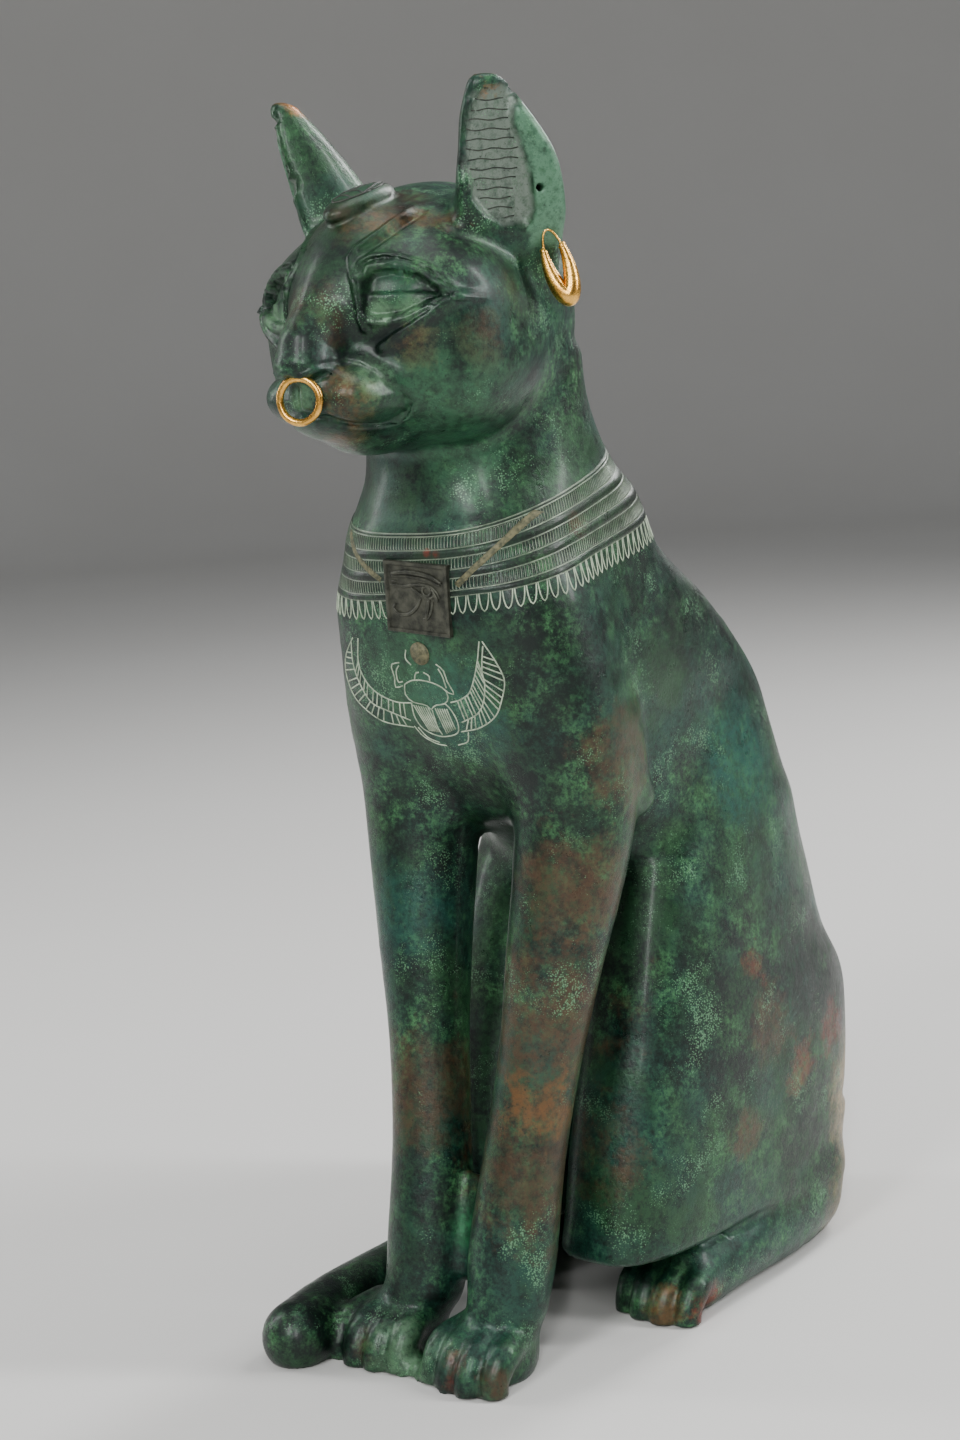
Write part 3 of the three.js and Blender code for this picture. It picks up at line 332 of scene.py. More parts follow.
class CatForm:
    """The cat's whole surface, from the same values as its solid, with finer carving on the face and ears."""

    EAR_FOOT = (31.0, -58.8, 370.0)
    EAR_LEAN = (0.222, -0.47)
    EAR_TURN = math.radians(50)
    HOLLOW_DEPTH = 3.4
    HOLLOW_SLOPE = 3.6
    HOLLOW_FOLD = 0.9
    HOLLOW_LEVELS = (375.4, 418.6)
    HOLLOW_END = 2.0
    FACE_EDGE = -84.0
    FACE_FADE = 10.0
    EYE_DEPTH = 3.4
    EYE_LEDGE_RISE = 1.1
    EYE_LEDGE_STEP = 0.9
    PAWS_ASIDE = 5.0
    SEAT_BELOW = 70.0
    PAWS_BELOW = 80.0
    THIGH_BELOW = 240.0
    HEAD_ABOVE = 285.0
    FORELEG_BELOW = 295.0

    def __init__(self) -> None:
        """Sets out the shapes of body, legs, tail and head."""
        self.trunk = Slices([
            (-4, 18, 94, -32, 32, 2.6), (30, 12, 103, -38, 38, 2.6), (50, -6, 109, -45, 45, 2.6),
            (70, -9, 113, -47, 47, 2.5), (100, -11, 115.5, -48, 48, 2.4), (120, -13, 110, -46.5, 46.5, 2.3),
            (140, -15, 106, -46, 46, 2.3), (160, -20, 103, -45, 45, 2.2), (172, -33, 101, -45.5, 45.5, 2.2),
            (182, -52, 98, -45, 45, 2.2), (195, -62, 93, -45, 45, 2.3), (212, -72, 82.5, -45.3, 45.3, 2.6),
            (230, -80, 61.5, -46.2, 46.2, 3.2), (250, -84.5, 37.5, -45.8, 45.8, 3.5),
            (262, -86, 22, -44.8, 44.8, 3.3), (270, -86.5, 14, -44, 44, 3.1), (282, -85.5, 10, -43, 43, 2.8),
            (290, -82.5, 7.5, -41.8, 41.8, 2.5), (300, -81.5, 1, -39.5, 39.5, 2.1),
            (320, -82, -8, -37.3, 37.3, 2), (338, -84, -10.5, -37.3, 37.3, 2),
        ], 4)
        self.thigh = Slices([
            (29, -51.5, 90, 5, 54, 3.2), (45, -48, 95, 5, 55, 3.1), (62, -44, 100, 4, 56, 3),
            (92, -36, 102, 4, 56.5, 2.8), (104, -32, 99, 4, 56, 2.8), (120, -28, 89, 4, 54.5, 2.7),
            (150, -18, 80, 4, 52, 2.5), (175, -7, 75.5, 4, 49.5, 2.3), (198, 7, 67, 4, 45.5, 2.2),
            (216, 18, 58, 4, 40, 2.2), (236, 28, 46, 4, 30, 2.2),
        ], 3)
        self.seat = Slices([
            (-4, 22, 88, 2, 45, 3), (12, 20, 93, 2, 47.5, 3), (34, 14, 96, 2, 50, 3), (48, 14, 99, 2, 51, 3),
        ], 3)
        self.hind_foot = Chain([
            (38, 75, 14, 12.5), (41, 50, 14, 13), (41, 18, 15.5, 13.8), (39, -6, 13.5, 14.4),
        ])
        self.hock = Limb((41, 24, 21), (39, 73, 26), 9.5, 14)
        self.foreleg = Chain([
            (27, -57, 254, 21), (30, -51, 224, 23.5), (33, -47, 194, 20.8), (31.4, -50.5, 168, 18.8),
            (27.8, -57, 138, 16.2), (24, -63, 106, 13.9), (20, -70, 72, 13.7), (17.8, -76.5, 42, 14.8),
            (18, -81, 26, 13.6),
        ])
        self.elbow = Chain([(35, -38, 214, 16), (38, -34, 199, 13), (42.5, -29, 189.5, 8)])
        self.forepaw = Ellipsoid((20, -88, 9), (15.5, 17, 13.5))
        self.fore_toes = self.toes(20.5, -107, 12.5)
        self.hind_toes = self.toes(37.5, -27, 12)
        self.paw_web = Limb((0, -101, 1), (12, -100, 1), 6, 7)
        self.leg_web = Limb((0, -77, 32), (0, -71, 62), 4, 2.5)
        self.tail = Chain([
            (-38, 86, 16, 15), (-53, 72, 12, 12.5), (-61, 48, 10, 10.5), (-63, 5, 9.5, 10),
            (-61, -45, 9.5, 10.4), (-55.5, -86, 10.5, 11.6), (-50, -112.5, 10, 12.4),
        ])
        self.set_out_head()

    def set_out_head(self) -> None:
        """Sets out the skull, the face's relief and the ears."""
        self.skull = Ellipsoid((0, -61.5, 349.5), (41, 50, 43.5))
        self.brow = Ellipsoid((0, -85, 356), (43.5, 33, 25))
        self.cheek = Ellipsoid((22.5, -80, 336.5), (21, 27.5, 23))
        self.lobe = Ellipsoid((12, -110, 328.3), (11.5, 17.8, 9.4))
        self.muzzle = Ellipsoid((0, -105, 328.5), (22.5, 25.5, 16))
        self.chin = Ellipsoid((0, -97, 316.5), (14, 14.5, 8))
        self.nose_bridge = Limb((0, -96, 373), (0, -125.5, 344), 13, 8.2)
        self.nose_tip = Ellipsoid((0, -128.3, 338.4), (8.2, 7.2, 4.8))
        self.crown_scarab = Ellipsoid((0, -96, 386.5), (7.5, 15.5, 4.5), 0.3)
        self.ear_back = Slices([
            (344, -22, 8.4, -14, 6.7, 2), (358, -30, 10.2, -18, 9.8, 2.1), (370, -36, 12, -19.6, 12.8, 2.2),
            (380, -38, 13, -18.5, 15.7, 2.2), (392, -34, 12.6, -15.7, 16.7, 2.2),
            (400, -29, 11.3, -13.3, 15.5, 2.2), (409, -22, 8.9, -10.8, 11.5, 2.2),
            (417, -13.5, 5.9, -7.2, 7.1, 2.2), (421.5, -9, 4.1, -4.8, 4.2, 2.2),
        ], 3)
        self.hollow_inner = (
            (375.6, 0), (376.3, -3.2), (377.5, -7.4), (379.5, -11.4), (384.6, -14.4), (393.4, -14.1),
            (403.4, -12.1), (411, -8.8), (414.5, -6.6), (416.6, -3.8), (418.4, 1.8),
        )
        self.hollow_outer = (
            (375.6, 2), (376.5, 3.8), (381, 5.8), (390.6, 7), (399.5, 6.3),
            (407, 5.2), (409, 5.9), (412.5, 7.2), (416.2, 6), (418.4, 1.8),
        )
        self.ear_front = (
            (344, -7.7), (358, -12), (370, -14.1), (380, -14.7), (392, -12.3), (400, -10.3),
            (409, -7.8), (417, -4.7), (421.5, -3.7),
        )
        self.raised = [
            (1.2, FrontLine([
                (13.8, 388), (14.9, 385.2), (16.7, 381.7), (15.2, 377.4), (13.1, 374.4), (11.2, 372.5),
                (10.8, 369.6), (12, 366.4), (13.7, 362.5), (14.9, 357.3), (15.4, 352.2), (15.3, 347.7),
            ], 0.9)),
            (0.9, FrontLine([
                (14.1, 362.4), (13.2, 366.3), (13.9, 368.5), (16.3, 369.8), (20.5, 370), (24.5, 369),
                (29.6, 367.1), (33.8, 364.5), (37.4, 361), (40.2, 357.8), (43, 354.6),
            ], 0.7)),
            (1.2, FrontLine([
                (15, 359.7), (15.2, 363.5), (16.3, 366.5), (19.3, 367.4), (22.9, 367.3), (27.8, 366.2),
                (31.9, 364.1), (35.9, 360.7), (39, 357.4), (41.5, 355.2),
            ], 0.9)),
            (0.8, FrontLine([
                (15, 351), (18, 349.4), (23.5, 349.2), (27.5, 350), (31, 351.6), (35, 354),
            ], 0.9)),
            (1.8, FrontLine([
                (41.5, 355.8), (37.5, 353.8), (34.8, 351), (30.2, 347.9), (24.6, 344.7), (20.2, 342),
            ], 1.5)),
            (0.9, FrontLine([(0.5, 336.6), (3.8, 335.1), (6, 335.5), (8.9, 337)], 0.8)),
        ]
        self.sunk = [
            (1.5, FrontLine([
                (0, 323.6), (4.5, 322.6), (7.7, 322.4), (10.2, 320.8), (12.5, 319.7), (15.7, 319.3),
                (17.7, 319.9), (20.1, 321.3), (22.2, 323.4), (23.3, 325.6),
            ], 1.0)),
            (0.8, FrontLine([(0, 323.6), (0, 332)], 0.9)),
            (1.0, FrontLine([
                (17.2, 389), (18.6, 383.5), (19.3, 380.8), (17.6, 375.6), (15.2, 372.4), (13.4, 370.4),
            ], 0.8)),
            (0.9, FrontLine([
                (15, 364.8), (15.6, 368), (19.8, 368.7), (23.7, 368.2), (28.7, 366.7), (32.8, 364.3),
                (36.6, 360.8), (39.6, 357.6),
            ], 0.5)),
            (0.8, FrontLine([(3.4, 333.2), (6, 333.6), (9.2, 335.2)], 0.8)),
            (1.0, FrontLine([
                (10.4, 338), (14.3, 336.9), (18.4, 334.5), (20.8, 332), (23, 328.8), (24, 325.6),
            ], 1.2)),
        ]
        self.eye_recess = Panel(
            (
                (15.2, 361.8), (17.3, 364.8), (19.6, 365.6), (22.6, 365.6), (26.2, 364.8), (29.7, 363.4),
                (32.8, 361.2), (35.4, 358.4), (37.2, 356.2),
            ),
            (
                (15.2, 352.6), (17, 351.4), (19.6, 351), (22.7, 351), (26.4, 351.7), (29.8, 353),
                (33, 354.6), (35.4, 355.6), (37.2, 356.2),
            ),
            1.0,
        )
        self.eye_ledge = ((15.2, 358.4), (24, 358.1), (32, 357.6), (37.2, 356.4))

    def toes(self, middle: float, front: float, knuckle: float) -> Shape:
        """Four toes side by side at the front of a paw.

        Args:
            middle: The paw's middle across the body.
            front: How far forward the middle toes reach.
            knuckle: The knuckles' height.

        Returns:
            The toes as one shape.
        """
        rows = []
        for offset, set_back in ((-12.4, 3), (-4.6, 0.5), (3.8, 0), (12, 3)):
            x, y = middle + offset, front + set_back
            rows.append(Chain([
                (middle + offset * 0.8, y + 18, knuckle + 4, 5), (x, y + 7, knuckle + 1.5, 5.4),
                (x, y + 1.5, knuckle - 5, 5), (x, y + 1, 1, 4.8),
            ]))

        def shape(x: np.ndarray, y: np.ndarray, z: np.ndarray) -> np.ndarray:
            """Depth at the points, as Solid says."""
            nearest = rows[0](x, y, z)
            for toe in rows[1:]:
                nearest = blend(nearest, toe(x, y, z), 1.2)
            return nearest

        return shape

    def on_ear(self, x: np.ndarray, y: np.ndarray, z: np.ndarray) -> tuple[np.ndarray, ...]:
        """Turns points into the ear's own upright frame.

        Args:
            x: The points' places across the form.
            y: Their places along it.
            z: Their heights.

        Returns:
            Their places across the ear, along it, and their heights.
        """
        dx = x - self.EAR_FOOT[0] - self.EAR_LEAN[0] * (z - self.EAR_FOOT[2])
        dy = y - self.EAR_FOOT[1] - self.EAR_LEAN[1] * (z - self.EAR_FOOT[2])
        cos, sin = math.cos(self.EAR_TURN), math.sin(self.EAR_TURN)
        return dx * cos + dy * sin, dy * cos - dx * sin, z

    def off_ear(self, x: np.ndarray, y: np.ndarray, z: np.ndarray) -> np.ndarray:
        """Turns points in the ear's own frame back into the form's.

        Args:
            x: The points' places across the ear.
            y: Their places along it.
            z: Their heights.

        Returns:
            Rows of x, y, z in the form's frame.
        """
        cos, sin = math.cos(self.EAR_TURN), math.sin(self.EAR_TURN)
        dx, dy = x * cos - y * sin, x * sin + y * cos
        return np.stack([
            dx + self.EAR_FOOT[0] + self.EAR_LEAN[0] * (z - self.EAR_FOOT[2]),
            dy + self.EAR_FOOT[1] + self.EAR_LEAN[1] * (z - self.EAR_FOOT[2]),
            z,
        ], 1)

    def ear(self, x: np.ndarray, y: np.ndarray, z: np.ndarray) -> np.ndarray:
        """Depth of points in the ear, with its open face and the hollow in that face.

        Args:
            x: The points' places across.
            y: Their places along.
            z: Their heights.

        Returns:
            Negative inside.
        """
        ex, ey, ez = self.on_ear(x, y, z)
        face = ey - knots_at(self.ear_front, ez) - self.hollow(ex, ez)
        return -blend(-self.ear_back(ex, ey, ez), face, 4)

    def hollow(self, ex: np.ndarray, ez: np.ndarray) -> np.ndarray:
        """How deep the hollow of the ear lies under its open face.

        Args:
            ex: Places across the ear.
            ez: Heights.

        Returns:
            The depth in millimetres, 0 beside the hollow.
        """
        foot, top = self.HOLLOW_LEVELS
        level = fade((ez - foot) / self.HOLLOW_END) * fade((top - ez) / self.HOLLOW_END)
        from_inner = fade((ex - knots_at(self.hollow_inner, ez)) / self.HOLLOW_SLOPE)
        from_outer = fade((knots_at(self.hollow_outer, ez) - ex) / self.HOLLOW_FOLD)
        return self.HOLLOW_DEPTH * level * from_inner * from_outer

    def head(self, x: np.ndarray, y: np.ndarray, z: np.ndarray) -> np.ndarray:
        """Depth of points in the head, with its face and ears.

        Args:
            x: The points' distances from the middle plane.
            y: Their places along.
            z: Their heights.

        Returns:
            Negative inside.
        """
        head = blend(self.skull(x, y, z), self.brow(x, y, z), 10)
        head = blend(head, self.cheek(x, y, z), 12)
        lobes = blend(self.muzzle(x, y, z), self.lobe(x, y, z), 2.5)
        head = blend(head, blend(lobes, self.chin(x, y, z), 5), 8)
        head = blend(head, self.nose_bridge(x, y, z), 8)
        head = blend(head, self.nose_tip(x, y, z), 4)
        facing = np.clip((self.FACE_EDGE - y) / self.FACE_FADE, 0, 1)
        ledge = fade((knots_at(self.eye_ledge, x) - z) / self.EYE_LEDGE_STEP + 0.5)
        relief = (self.EYE_DEPTH - self.EYE_LEDGE_RISE * ledge) * self.eye_recess(x, z)
        for height, line in self.raised:
            relief = relief - height * line(x, z)
        for depth, line in self.sunk:
            relief = relief + depth * line(x, z)
        head = head + facing * relief
        head = blend(head, self.crown_scarab(x, y, z), 1.5)
        return blend(head, self.ear(x, y, z), 6)

    def body(self, side: np.ndarray, x: np.ndarray, y: np.ndarray, z: np.ndarray) -> np.ndarray:
        """Depth of points in everything below the head.

        Args:
            side: The points' distances from the middle plane.
            x: Their places across.
            y: Their places along.
            z: Their heights.

        Returns:
            Negative inside.
        """
        body = self.trunk(side, y, z)
        body = np.where(z < self.THIGH_BELOW, blend(body, self.thigh(side, y, z), 7), body)
        low = blend(body, self.seat(side, y, z), 5)
        low = blend(low, blend(self.hind_foot(side, y, z), self.hind_toes(side, y, z), 3), 3)
        low = blend(low, self.hock(side, y, z), 8)
        body = np.where(z < self.SEAT_BELOW, low, body)
        foreleg = self.foreleg(side, y, z)
        legs = blend(blend(body, foreleg, 9), self.elbow(side, y, z), 4)
        body = np.where(z < self.FORELEG_BELOW, legs, body)
        aside = np.abs(x + self.PAWS_ASIDE)
        paw = blend(blend(foreleg, self.forepaw(aside, y, z), 7), self.fore_toes(aside, y, z), 2.5)
        low = np.minimum(body, paw)
        low = blend(low, self.paw_web(side, y, z), 4)
        low = blend(low, self.leg_web(side, y, z), 6)
        low = blend(low, self.tail(x, y, z), 4)
        return np.where(z < self.PAWS_BELOW, low, body)

    def __call__(self, points: np.ndarray) -> np.ndarray:
        """Depth of points below the cat's surface.

        Args:
            points: Rows of x, y, z in the form's millimetres.

        Returns:
            Negative inside, near the distance close to the surface.
        """
        x, y, z = np.asarray(points, float).T
        side = np.abs(x)
        result = np.empty(len(x))
        low = z < self.PAWS_BELOW
        high = z > self.HEAD_ABOVE
        middle = ~low & ~high
        for part in (low, middle):
            result[part] = self.body(side[part], x[part], y[part], z[part])
        if high.any():
            neck = self.body(side[high], x[high], y[high], z[high])
            result[high] = blend(neck, self.head(side[high], y[high], z[high]), 5)
        return result

    def slope(self, points: np.ndarray, value: np.ndarray, step: float = 0.2) -> np.ndarray:
        """How the depth changes along each axis.

        Args:
            points: Rows of x, y, z.
            value: The depth there.
            step: How far to look along each axis.

        Returns:
            One row for each point.
        """
        axes = np.eye(3) * step
        return np.stack([(self(points + axis) - value) / step for axis in axes], 1)

    def normals(self, points: np.ndarray) -> np.ndarray:
        """Unit directions straight out of the surface at points on it."""
        slope = self.slope(points, self(points))
        return slope / np.linalg.norm(slope, axis=1, keepdims=True)

    def settle(
        self, points: np.ndarray, rounds: int = 3, offset: float = 0.0, reach: float = 3.0,
    ) -> np.ndarray:
        """Moves points straight onto the surface.

        Args:
            points: Rows of x, y, z near the surface.
            rounds: How often the move is repeated.
            offset: How far outside the surface they end.
            reach: The longest move in one round.

        Returns:
            The points on the surface.
        """
        points = np.array(points, float)
        for _ in range(rounds):
            value = self(points)
            slope = self.slope(points, value)
            size = np.maximum((slope ** 2).sum(1), 0.09)
            move = ((value - offset) / size)[:, None] * slope
            length = np.linalg.norm(move, axis=1, keepdims=True)
            points -= move * np.minimum(1, reach / np.maximum(length, 1e-9))
        return points

    def along(self, start: np.ndarray, direction: np.ndarray, reach: float, steps: int = 26) -> np.ndarray:
        """Finds where rays from outside meet the surface, by halving.

        Args:
            start: Where each ray starts, outside.
            direction: The rays' unit directions.
            reach: How far along them the inside surely lies.
            steps: How often the stretch is halved.

        Returns:
            The points where they meet it.
        """
        low = np.zeros(len(start))
        high = np.full(len(start), reach)
        for _ in range(steps):
            middle = (low + high) / 2
            outside = self(start + direction * middle[:, None]) > 0
            low = np.where(outside, middle, low)
            high = np.where(outside, high, middle)
        return start + direction * high[:, None]

    def from_front(self, path: np.ndarray) -> np.ndarray:
        """Lays a path of x and z on the surface as seen from the front."""
        start = np.stack([path[:, 0], np.full(len(path), -150.0), path[:, 1]], 1)
        return self.along(start, np.tile([0.0, 1.0, 0.0], (len(path), 1)), 130.0)


# Mesh helpers


def link_new(name: str, data: bpy.types.ID) -> bpy.types.Object:
    """Makes an object of some data and links it to the scene.

    Args:
        name: The object's name.
        data: Its mesh, curve, camera or light.

    Returns:
        The object.
    """
    item = bpy.data.objects.new(name, data)
    bpy.context.scene.collection.objects.link(item)
    return item


def new_piece(
    name: str, mesh: bpy.types.Mesh, material: bpy.types.Material, smooth: bool = True,
) -> bpy.types.Object:
    """Puts a mesh into the scene as a piece.

    Args:
        name: The piece's name.
        mesh: Its mesh, in the part's metres.
        material: Its finish.
        smooth: Whether it is shaded smooth.

    Returns:
        The new object.
    """
    mesh.materials.clear()
    mesh.materials.append(material)
    piece = link_new(name, mesh)
    if smooth:
        mesh.shade_smooth()
    return piece


def mesh_from(bm: bmesh.types.BMesh, name: str) -> bpy.types.Mesh:
    """Writes a bmesh into a new mesh and frees it.

    Args:
        bm: The bmesh.
        name: The new mesh's name.

    Returns:
        The mesh.
    """
    mesh = bpy.data.meshes.new(name)
    bm.to_mesh(mesh)
    bm.free()
    return mesh


def corners(mesh: bpy.types.Mesh) -> np.ndarray:
    """Reads a mesh's points.

    Args:
        mesh: The mesh.

    Returns:
        Rows of x, y, z.
    """
    numbers = np.empty(len(mesh.vertices) * 3, np.float32)
    mesh.vertices.foreach_get("co", numbers)
    return numbers.reshape(-1, 3).astype(float)


def put_corners(mesh: bpy.types.Mesh, points: np.ndarray) -> None:
    """Writes rows of points back into a mesh."""
    mesh.vertices.foreach_set("co", np.asarray(points, np.float32).ravel())
    mesh.update()


def applied(piece: bpy.types.Object, name: str) -> bpy.types.Mesh:
    """Applies an object's modifiers and removes the object.

    Args:
        piece: The object with live modifiers.
        name: The new mesh's name.

    Returns:
        The finished mesh.
    """
    graph = bpy.context.evaluated_depsgraph_get()
    mesh = bpy.data.meshes.new_from_object(piece.evaluated_get(graph))
    mesh.name = name
    bpy.data.objects.remove(piece)
    return mesh


def threads(name: str, paths: Sequence[np.ndarray], radius: float, sides: int = 1) -> bpy.types.Mesh:
    """Makes thin round threads along paths, as one mesh.

    Args:
        name: The mesh's name.
        paths: Rows of points in the part's metres, or x, y, z and a share of the radius.
        radius: The threads' radius in metres.
        sides: Blender's bevel resolution.

    Returns:
        Closed tubes, one for each path.
    """
    curve = bpy.data.curves.new(name, "CURVE")
    curve.dimensions = "3D"
    curve.bevel_depth = radius
    curve.bevel_resolution = sides
    curve.use_fill_caps = True
    for path in paths:
        spline = curve.splines.new("POLY")
        spline.points.add(len(path) - 1)
        places = np.ones((len(path), 4))
        places[:, :3] = path[:, :3]
        spline.points.foreach_set("co", places.ravel())
        if path.shape[1] > 3:
            spline.points.foreach_set("radius", path[:, 3])
    mesh = applied(link_new(name, curve), name)
    bm = bmesh.new()
    bm.from_mesh(mesh)
    bmesh.ops.remove_doubles(bm, verts=bm.verts, dist=1e-7)
    bmesh.ops.recalc_face_normals(bm, faces=bm.faces)
    bm.to_mesh(mesh)
    bm.free()
    return mesh


# Shader building


class Bench:
    """Adds and wires nodes in one shader tree."""

    def __init__(self, tree: bpy.types.NodeTree) -> None:
        """Starts on a tree."""
        self.tree = tree

    def node(self, kind: str, **settings: object) -> bpy.types.Node:
        """Adds a node.

        Args:
            kind: The node's type name.
            **settings: Its properties.

        Returns:
            The node.
        """
        node = self.tree.nodes.new(kind)
        for name, value in settings.items():
            setattr(node, name, value)
        return node

    def feed(self, socket: bpy.types.NodeSocket, value: object) -> None:
        """Wires an output into a socket, or sets a plain value on it.

        Args:
            socket: The input.
            value: An output, a plain value, or None for the input's own value.
        """
        if isinstance(value, bpy.types.NodeSocket):
            self.tree.links.new(value, socket)
        elif value is not None:
            socket.default_value = value

    def math(self, operation: str, a: object, b: object = None, clamp: bool = False) -> bpy.types.NodeSocket:
        """Adds a Math node.

        Args:
            operation: What it works out.
            a: Its first value.
            b: Its second value.
            clamp: Whether the result stays within 0 and 1.

        Returns:
            Its output.
        """
        node = self.node("ShaderNodeMath", operation=operation, use_clamp=clamp)
        self.feed(node.inputs[0], a)
        self.feed(node.inputs[1], b)
        return node.outputs[0]

    def mix(self, factor: object, a: object, b: object) -> bpy.types.NodeSocket:
        """Adds a colour Mix node.

        Args:
            factor: The second colour's share.
            a: The first colour.
            b: The second colour.

        Returns:
            Its output.
        """
        node = self.node("ShaderNodeMix", data_type="RGBA")
        self.feed(node.inputs["Factor"], factor)
        self.feed(node.inputs[6], a)
        self.feed(node.inputs[7], b)
        return node.outputs[2]

    def noise(
        self, vector: object, scale: float, detail: float, roughness: float = 0.5,
    ) -> bpy.types.NodeSocket:
        """Adds a Noise node.

        Args:
            vector: The place.
            scale: How fine the noise is.
            detail: How many finer layers it has.
            roughness: How strong those are.

        Returns:
            Its factor.
        """
        node = self.node("ShaderNodeTexNoise", noise_dimensions="3D")
        self.feed(node.inputs["Vector"], vector)
        self.feed(node.inputs["Scale"], scale)
        self.feed(node.inputs["Detail"], detail)
        self.feed(node.inputs["Roughness"], roughness)
        return node.outputs["Fac"]

    def span(
        self, value: object, low: float, high: float, start: float = 0, end: float = 1,
    ) -> bpy.types.NodeSocket:
        """Adds a clamped Map Range node.

        Args:
            value: The value to map.
            low: The value that gives the start.
            high: The value that gives the end.
            start: The result at the low value.
            end: The result at the high value.

        Returns:
            Its result.
        """
        node = self.node("ShaderNodeMapRange", clamp=True)
        for socket, number in zip(node.inputs[:5], (value, low, high, start, end)):
            self.feed(socket, number)
        return node.outputs[0]

    def group(self, tree: bpy.types.NodeTree, **inputs: object) -> bpy.types.Node:
        """Places a node group with its inputs.

        Args:
            tree: The group.
            **inputs: Values or outputs by input name.

        Returns:
            The group's node.
        """
        node = self.node("ShaderNodeGroup", node_tree=tree)
        for name, value in inputs.items():
            self.feed(node.inputs[name], value)
        return node

    def attribute(self, name: str) -> bpy.types.NodeSocket:
        """Reads a number stored on the mesh's points."""
        return self.node("ShaderNodeAttribute", attribute_name=name).outputs["Fac"]

    def bump(self, strength: float, distance: float, height: object) -> bpy.types.NodeSocket:
        """Adds a Bump node.

        Args:
            strength: How strong it is.
            distance: The height of the relief in metres.
            height: The relief.

        Returns:
            Its normal.
        """
        node = self.node("ShaderNodeBump")
        self.feed(node.inputs["Strength"], strength)
        self.feed(node.inputs["Distance"], distance)
        self.feed(node.inputs["Height"], height)
        return node.outputs["Normal"]


def start_material(name: str) -> tuple[bpy.types.Material, Bench, bpy.types.Node, bpy.types.NodeSocket]:
    """Starts a material.

    Args:
        name: Its name.

    Returns:
        The material, its bench, its shader node and the place on the object.
    """
    material = bpy.data.materials.new(name)
    material.use_nodes = True
    bench = Bench(material.node_tree)
    place = bench.node("ShaderNodeTexCoord").outputs["Object"]
    return material, bench, material.node_tree.nodes["Principled BSDF"], place


def start_group(
    name: str, inputs: dict[str, str], outputs: dict[str, str],
) -> tuple[Bench, bpy.types.Node, bpy.types.Node]:
    """Starts a shader node group with named sockets.

    Args:
        name: The group's name.
        inputs: Socket kinds by name.
        outputs: Socket kinds by name.

    Returns:
        Its bench, its input node and its output node.
    """
    tree = bpy.data.node_groups.new(name, "ShaderNodeTree")
    for direction, sockets in (("INPUT", inputs), ("OUTPUT", outputs)):
        for label, kind in sockets.items():
            tree.interface.new_socket(label, in_out=direction, socket_type=f"NodeSocket{kind}")
    bench = Bench(tree)
    return bench, bench.node("NodeGroupInput"), bench.node("NodeGroupOutput")


def patina_tones_group() -> bpy.types.NodeTree:
    """Makes the group for drifting dark, middle and light tones of a patina.

    Returns:
        The group, which also gives how much of the light crust lies at a place.
    """
    bench, given, result = start_group(
        "patina_tones",
        {"Vector": "Vector", "Dark": "Color", "Middle": "Color", "Light": "Color", "Teal": "Color"},
        {"Color": "Color", "Crust": "Float"},
    )
    vector = given.outputs["Vector"]
    broad = bench.noise(vector, 15, 4, 0.6)
    mottle = bench.noise(vector, 115, 10, 0.78)
    fine = bench.noise(vector, 560, 8, 0.78)
    depth = bench.math("ADD", bench.math("MULTIPLY", broad, 0.26), bench.math("MULTIPLY", mottle, 0.42))
    depth = bench.math("ADD", depth, bench.math("MULTIPLY", fine, 0.32))
    drift = bench.span(bench.noise(vector, 26, 5, 0.65), 0.44, 0.6)
    green = bench.mix(drift, given.outputs["Middle"], given.outputs["Teal"])
    tone = bench.mix(bench.span(depth, 0.44, 0.54), given.outputs["Dark"], green)
    crowd = bench.span(bench.noise(vector, 34, 5, 0.6), 0.42, 0.62)
    light = bench.math("MULTIPLY", bench.span(mottle, 0.48, 0.6), bench.span(fine, 0.44, 0.58))
    light = bench.math("MULTIPLY", light, crowd)
    tone = bench.mix(light, tone, given.outputs["Light"])
    bench.feed(result.inputs["Color"], tone)
    bench.feed(result.inputs["Crust"], light)
    return bench.tree


def speckle_group() -> bpy.types.NodeTree:
    """Makes the group for small pale specks that crowd in some places.

    Returns:
        The group.
    """
    bench, given, result = start_group(
        "pale_specks", {"Vector": "Vector", "Scale": "Float", "Amount": "Float"}, {"Mask": "Float"},
    )
    cells = bench.node("ShaderNodeTexVoronoi", feature="F1")
    bench.feed(cells.inputs["Vector"], given.outputs["Vector"])
    bench.feed(cells.inputs["Scale"], given.outputs["Scale"])
    crowd = bench.span(bench.noise(given.outputs["Vector"], 42, 6, 0.7), 0.4, 0.66)
    size = bench.math("MULTIPLY", crowd, given.outputs["Amount"])
    warp = bench.math("MULTIPLY", bench.noise(given.outputs["Vector"], 2600, 3, 0.6), 0.4)
    speck = bench.math("SUBTRACT", size, bench.math("ADD", cells.outputs["Distance"], warp))
    bench.feed(result.inputs["Mask"], bench.span(speck, 0, 0.22))
    return bench.tree


